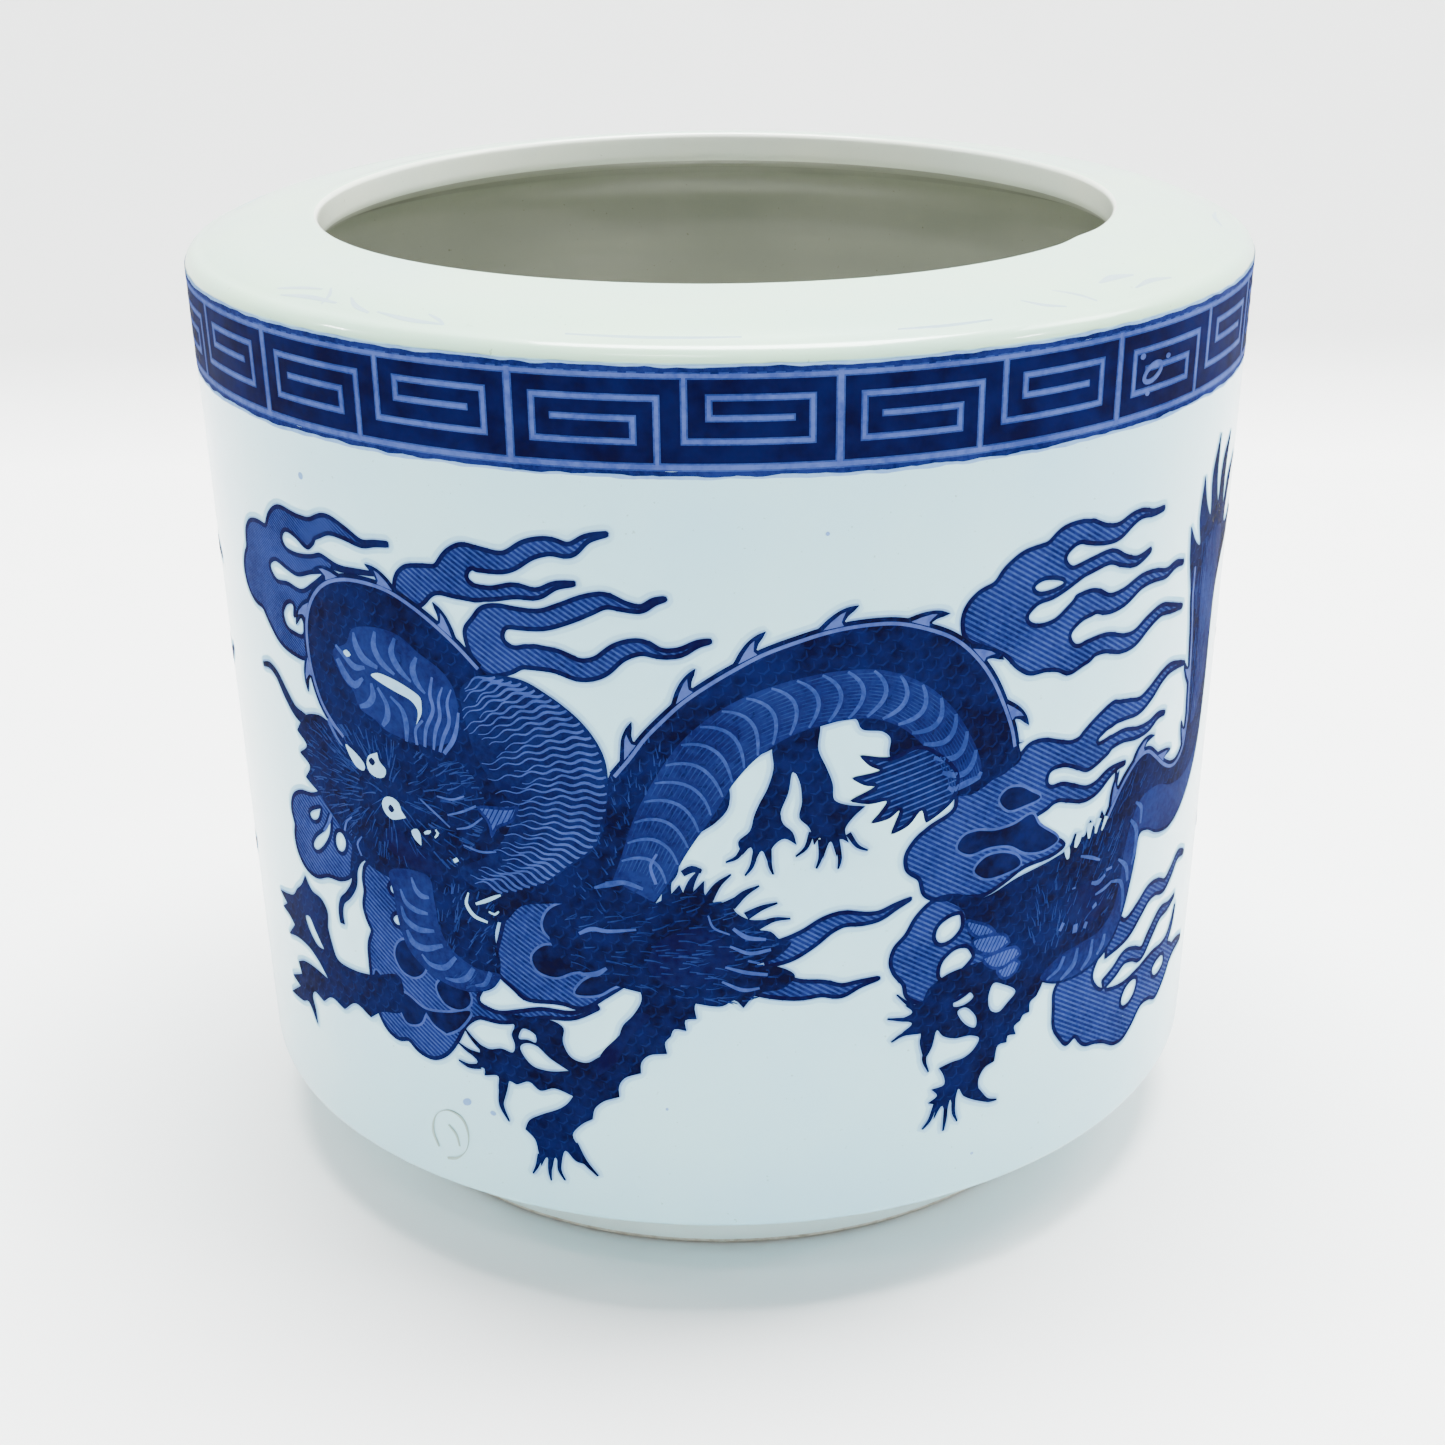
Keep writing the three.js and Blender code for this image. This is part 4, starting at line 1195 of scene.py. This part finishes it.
def beside(curve, distances, offsets):
    """Places at distances along a curve, moved offsets to its left."""
    travel = walk(curve)
    ahead = np.gradient(curve[:, :2], axis=0)
    ahead /= np.linalg.norm(ahead, axis=1)[:, None]
    places = []
    for distance, offset in zip(distances, offsets):
        u, z = (np.interp(distance, travel, curve[:, k]) for k in (0, 1))
        du, dz = (np.interp(distance, travel, ahead[:, k]) for k in (0, 1))
        places.append((u - dz * offset, z + du * offset))
    return np.array(places)


def fins_along(text, starts, size, backwards):
    """Curved thorns that lean along a spine, and the pale wedge at the root of each."""
    curve = spline(read(text)[0], FINE_STEP)
    side = 1.0
    if backwards:
        curve, side = curve[::-1], -1.0
    thorns, wedges = [], []
    for start in starts:
        out = beside(curve, start + size * np.array([0.0, 0.9, 2.0, 3.4, 4.6, 5.6]),
                     side * size * np.array([0.4, 0.8, 1.5, 2.2, 2.5, 2.5]))
        back = beside(curve, start + size * np.array([5.0, 4.3, 3.9, 4.2]),
                      side * size * np.array([1.9, 1.4, 0.9, 0.3]))
        thorns.append(np.vstack([spline(out), spline(back)]))
        root = beside(curve, start + size * np.array([1.3, 2.4, 3.5, 4.1, 3.7, 3.5, 3.7]),
                      side * size * np.array([0.4, 1.15, 1.8, 2.0, 1.3, 0.85, 0.35]))
        wedges.append(root)
    return thorns, wedges


def plate_places():
    """The belly band, the distance along it at each point, and where its plates end."""
    band = spline(read(BELLY)[0], FINE_STEP)
    travel = walk(band)
    return band, travel, np.arange(PLATE_SPACING, travel[-1] - 0.5, PLATE_SPACING)


def crescents():
    """Pale edges of the belly plates, each curved the way the band runs."""
    band, travel, places = plate_places()
    made = []
    for distance in places:
        half = np.interp(distance, travel, band[:, 2]) / 2
        across = np.linspace(-0.94, 0.94, 11)
        points = beside(band, distance + PLATE_BULGE * (1 - across**2), across * half)
        grown = PLATE_EDGE * (1 + 1.1 * (distance / travel[-1]) ** 3)
        width = grown * (0.3 + 0.7 * np.sqrt(1 - across**2)) / 2
        made += quads(points, width, width)
    return made


def feathers():
    """Fine short strokes behind each plate's edge."""
    band, travel, places = plate_places()
    width = np.array([0.03, 0.11])
    made = []
    for distance in places:
        half = np.interp(distance, travel, band[:, 2]) / 2
        for across in np.linspace(-0.86, 0.86, 13):
            edge = distance + PLATE_BULGE * (1 - across**2)
            points = beside(band, [edge - PLATE_SPACING * 0.75, edge],
                            [across * half * 0.96, across * half])
            made += quads(points, width, width)
    return made


def mane():
    """Fine wavy strokes that fan from the head to the edge of the mane, fading inwards."""
    inner, outer = (spline(read(text)[0], FINE_STEP) for text in written(MANE))
    dice = random.Random(11)
    made = []
    for share in np.linspace(0.01, 0.99, MANE_STROKES):
        start = beside(inner, [share * walk(inner)[-1]], [0.0])[0]
        end = beside(outer, [share * walk(outer)[-1]], [0.0])[0]
        start = start + (end - start) * dice.uniform(-0.05, 0.3)
        end = end + (start - end) * dice.uniform(-0.02, 0.03)
        length = np.linalg.norm(end - start)
        run = np.linspace(0, 1, max(6, int(length / 0.45)))
        ahead = (end - start) / length
        side = np.array([-ahead[1], ahead[0]])
        wave = 0.22 * np.sin(2 * math.pi * (run - 1) * length / dice.uniform(3.0, 3.5))
        wave = wave + 0.5 * np.sin(math.pi * run)
        points = start + np.outer(run, end - start) + np.outer(wave, side)
        width = 0.04 + 0.14 * np.minimum(1, run * 1.3) * np.minimum(1, (1.1 - run) * 6)
        made += quads(points, width, width)
    return made


def scales(region):
    """Small arcs in staggered rows over the box of a covered area, like overlapping scales."""
    low, high = region[0].min(axis=0), region[0].max(axis=0)
    turn = np.linspace(-2.3, 0.6, 4)
    arc_shape = 0.46 * SCALE_PITCH * np.column_stack([np.cos(turn), np.sin(turn)])
    width = np.array([0.03, 0.14, 0.14, 0.03])
    arcs = []
    for row, z in enumerate(np.arange(low[1], high[1], SCALE_PITCH * 0.8)):
        for u in np.arange(low[0] + (row % 2) * SCALE_PITCH / 2, high[0], SCALE_PITCH):
            arcs += quads(arc_shape + np.array([u, z]), width, width)
    return arcs


def build_bodies():
    """The dark masses of the dragons with their spines and fins."""
    shapes = [outline(text) for text in BODIES.values()] + strokes(TENDRILS)
    wedges, pale, rims_out = [], [], []
    for key, text in SPINES.items():
        starts, size, backwards = FIN_STARTS[key]
        thorns, roots = fins_along(text, starts, size, backwards)
        shapes += thorns
        wedges += roots
        curve = spline(read(text)[0])
        thin = np.full(len(curve), SPINE_HALF)
        pale += quads(curve, thin, thin)
        rims_out += quads(curve, thin * 3.4, thin * 0)
    holes = outlines(BODY_HOLES)
    whole = covered(shapes + rims_out, holes)
    wrap("dragon_dark", whole, LIFT["dragon_dark"], INK_DARK, PANELS)
    bleed("dragon", whole)
    arcs = covered(scales(whole), holes, shapes)
    wrap("dragon_scales", arcs, LIFT["scales"], INK_SCALE, PANELS)
    wrap("dragon_spine", covered(pale + wedges), LIFT["spine"], INK_SPINE, PANELS)


def fur(zone, centre, length, count, seed):
    """Short fine strokes inside a zone that point away from a centre, like combed hair."""
    dice = random.Random(seed)
    shape = outline(zone)
    low, high = shape.min(axis=0), shape.max(axis=0)
    made = []
    for _ in range(count):
        start = np.array([dice.uniform(low[0], high[0]), dice.uniform(low[1], high[1])])
        ahead = start - np.array(centre)
        ahead /= max(1e-6, np.linalg.norm(ahead))
        side = np.array([-ahead[1], ahead[0]])
        size = length * dice.uniform(0.6, 1.3)
        bend = dice.uniform(-0.3, 0.3)
        run = np.linspace(0, 1, 6)
        points = start + np.outer(run * size, ahead) + np.outer(bend * run**2 * size, side)
        width = 0.1 * np.sqrt(np.maximum(0.02, 1 - run)) * dice.uniform(0.6, 1.2)
        made += quads(points, width, width)
    return covered(made, (), [shape])


def build_fur():
    """Combed hair on the heads and rough texture on the shoulders."""
    for name, (zone, centre, length, count) in FUR.items():
        hairs = fur(zone, centre, length, count, len(name))
        wrap("fur_" + name, hairs, LIFT["fur"], INK_HATCH_PALE, PANELS)


def build_belly():
    """The paler belly bands with their plates."""
    band = spline(read(BELLY)[0], BAND_STEP)
    half = band[:, 2] / 2
    area = covered(outlines(ZONES) + quads(band, half, half))
    wrap("belly_blue", area, LIFT["bands"], INK_BELLY, PANELS)
    wrap("belly_feathers", covered(feathers()), LIFT["feathers"], INK_HATCH_PALE, PANELS)
    edges = covered(crescents() + strokes(PLATE_EDGES))
    wrap("belly_plates", edges, LIFT["belly_plates"], INK_WASH, PANELS)


def build_front_plates():
    """The ribbed plates on the right dragon's chest and the ear of the left one."""
    plates = outlines(PLATES)
    wrap("front_plates", covered(plates), LIFT["plates"], INK_PALE, PANELS)
    ribs = []
    for plate in plates:
        ribs += edging(covered([plate]), 0.28, 0.12)
        ribs += hatching(covered([plate]), 0.55, 0.16, 62)
    wrap("front_plate_ribs", covered(ribs), LIFT["ribs"], INK_HATCH, PANELS)


def build_mane():
    """The wavy mane, and single hairs on the heads."""
    ground = covered([outline(MANE_GROUND)])
    wrap("mane_blue", ground, LIFT["bands"], INK_SCALE, PANELS)
    hair = covered(mane() + strokes(HAIRS), (), outlines(HAIR_ZONES))
    wrap("mane_hair", hair, LIFT["hair"], INK_PALE, PANELS)


def build_tuft():
    """The hatched tuft of hair under the arched body."""
    tuft = covered([outline(TUFT)])
    wrap("tuft_wash", tuft, LIFT["bands"], INK_SCALE, PANELS)
    hatch = covered(hatching(tuft, 0.75, 0.2, 14))
    wrap("tuft_hatch", hatch, LIFT["tuft_hatch"], INK_WASH, PANELS)
    edge = covered(edging(tuft, 0.42, OUTLINE_OUTER))
    wrap("tuft_line", edge, LIFT["tuft_line"], INK_LINE, PANELS)


def build_marks():
    """Deep pools of blue, and the eyes, teeth and other small white marks."""
    deeps = covered(outlines(DEEPS))
    wrap("deep_pools", deeps, LIFT["deeps"], INK_LINE, PANELS)
    whites = covered(outlines(WHITES) + strokes(WHITE_STROKES))
    wrap("white_marks", whites, LIFT["whites"], INK_WHITE, PANELS)
    wrap("pupils", covered(outlines(PUPILS)), LIFT["pupils"], INK_DARK, PANELS)


def build_scar():
    """A thumb-nail mark in the glaze, low on the left."""
    scar = spline(read("-41.6,18.2 -42.4,20.4 -41.6,23 -39.4,24.4 -37.2,23.8 -36.4,21.6 "
                       "-36.9,19.2 -38.6,17.4 -40.2,16.9")[0])
    width = 0.1 + 0.07 * np.sin(np.arange(len(scar)) * 0.35)
    mark = quads(scar, width, width)
    mark += stroke("-39.6,22.2,.2 -38.4,21,.3 -38,19.4,.2")
    wrap("glaze_scar", covered(mark), LIFT["scar"], GLAZE_SCAR)


def build_blister():
    """A burst blister on the right of the fret."""
    blister = oval(55.6, 117.4, 4.0, 2.2, 20)
    ring = edging(covered([blister]), 0.5, 0.1)
    specks = [oval(53.4, 119.6, 0.9, 0.7), oval(58.6, 118.8, 0.8, 0.6), oval(54.8, 115, 0.7, 0.6)]
    wrap("fret_blister", covered(ring + specks), LIFT["blister"], INK_SPINE)


def build_smudges():
    """Specks of blue on the side, and brush streaks on the collar."""
    smudges = [oval(-36.2, 26.6, 1.5, 1.0, 30), oval(-32.2, 26.0, 0.9, 0.7),
               oval(-55.5, 106, 0.9, 0.9), oval(11.4, 104.6, 0.5, 0.5), oval(-12.2, 96.0, 0.4, 0.4),
               oval(33.2, 18.6, 0.5, 0.4), oval(62.4, 28.4, 0.7, 0.5), oval(-8.2, 30.4, 0.4, 0.4)]
    wrap("blue_smudges", covered(smudges), LIFT["wash"], INK_HALO)
    streaks = covered(strokes(COLLAR_STREAKS))
    wrap("collar_smudges", streaks, LIFT["wash"], GLAZE_SMUDGE, surface=on_collar)


# ------------------------------------------------------------------ floor, light and camera

def build_stage():
    """A pale paper sweep under and behind the pot."""
    rows = [(-1.2, 0.0), (-0.2, 0.0), (0.2, 0.0), (0.31, 0.0)]
    rows += [(0.31 + 0.03 * math.sin(t), 0.03 - 0.03 * math.cos(t))
             for t in np.linspace(0.2, math.pi / 2, 9)]
    rows += [(0.34, 0.4), (0.34, 1.6)]
    verts, faces = [], []
    columns = np.linspace(-1.6, 1.6, 25)
    for y, z in rows:
        verts += [(x, y, z) for x in columns]
    for i in range(len(rows) - 1):
        for j in range(len(columns) - 1):
            a = i * len(columns) + j
            faces.append((a, a + 1, a + 1 + len(columns), a + len(columns)))
    mesh = bpy.data.meshes.new("paper_sweep")
    mesh.from_pydata(verts, [], faces)
    mesh.polygons.foreach_set("use_smooth", [True] * len(mesh.polygons))
    sweep = bpy.data.objects.new("paper_sweep", mesh)
    bpy.context.scene.collection.objects.link(sweep)
    finish, nodes, links, shader = new_finish("paper")
    grain = noise_node(nodes, links, 40.0, 3.0, 0.5)
    colour = ramp(nodes, links, grain, [(0.3, (0.86, 0.87, 0.86)), (0.7, (0.88, 0.88, 0.87))])
    links.new(colour, shader.inputs["Base Color"])
    shader.inputs["Roughness"].default_value = 0.9
    mesh.materials.append(finish)


def add_light(name, place, target, size, power):
    """A soft square light at place, looking at target, in metres."""
    lamp = bpy.data.lights.new(name, "AREA")
    lamp.shape = "RECTANGLE"
    lamp.size, lamp.size_y = size
    lamp.energy = power
    holder = bpy.data.objects.new(name, lamp)
    holder.location = place
    direction = Vector(target) - Vector(place)
    holder.rotation_euler = direction.to_track_quat("-Z", "Y").to_euler()
    bpy.context.scene.collection.objects.link(holder)


def build_lights():
    """Bright soft room light from above and behind, and small lamps for the highlights."""
    world = bpy.data.worlds.new("room")
    world.use_nodes = True
    world.node_tree.nodes["Background"].inputs["Color"].default_value = (0.97, 0.985, 1.0, 1)
    world.node_tree.nodes["Background"].inputs["Strength"].default_value = 0.84
    bpy.context.scene.world = world
    for name, place, aim, size, power in (
            ("ceiling", (0.06, 0.25, 1.25), 0.05, (0.9, 0.75), 134),
            ("window", (0.75, 0.3, 0.9), 0.05, (0.5, 0.4), 16),
            ("lamp_front", (-0.16, -0.6, 0.8), 0.1, (0.3, 0.05), 1.6),
            ("lamp_left", (-0.95, 0.0, 0.62), 0.1, (0.1, 0.06), 2.0),
            ("lamp_right", (0.85, -0.34, 0.62), 0.1, (0.1, 0.06), 2.0)):
        add_light(name, place, (0, 0, aim), size, power)


def build_camera():
    """The view from just above the pot's front, looking down at about 23 degrees."""
    yaw, pitch, roll = 0.011, 0.3971, -0.0077
    ahead = Vector((math.sin(yaw) * math.cos(pitch), math.cos(yaw) * math.cos(pitch),
                    -math.sin(pitch)))
    right = Vector((math.cos(yaw), -math.sin(yaw), 0))
    up = right.cross(ahead)
    right, up = (right * math.cos(roll) + up * math.sin(roll),
                 up * math.cos(roll) - right * math.sin(roll))
    camera_data = bpy.data.cameras.new("camera")
    camera_data.lens = 58.24
    camera_data.sensor_width = 36
    camera_data.shift_x = -0.0128
    camera = bpy.data.objects.new("camera", camera_data)
    place = Matrix((right, up, -ahead)).transposed().to_4x4()
    place.translation = Vector((-1.18, -312.6, 184.6)) * MM
    camera.matrix_world = place
    bpy.context.scene.collection.objects.link(camera)
    bpy.context.scene.camera = camera


build_body()
build_fret()
for cloud_name, cloud_parts in CLOUDS.items():
    build_cloud(cloud_name, cloud_parts)
build_bodies()
build_belly()
build_front_plates()
build_mane()
build_fur()
build_tuft()
build_marks()
build_scar()
build_blister()
build_smudges()
build_stage()
build_lights()
build_camera()
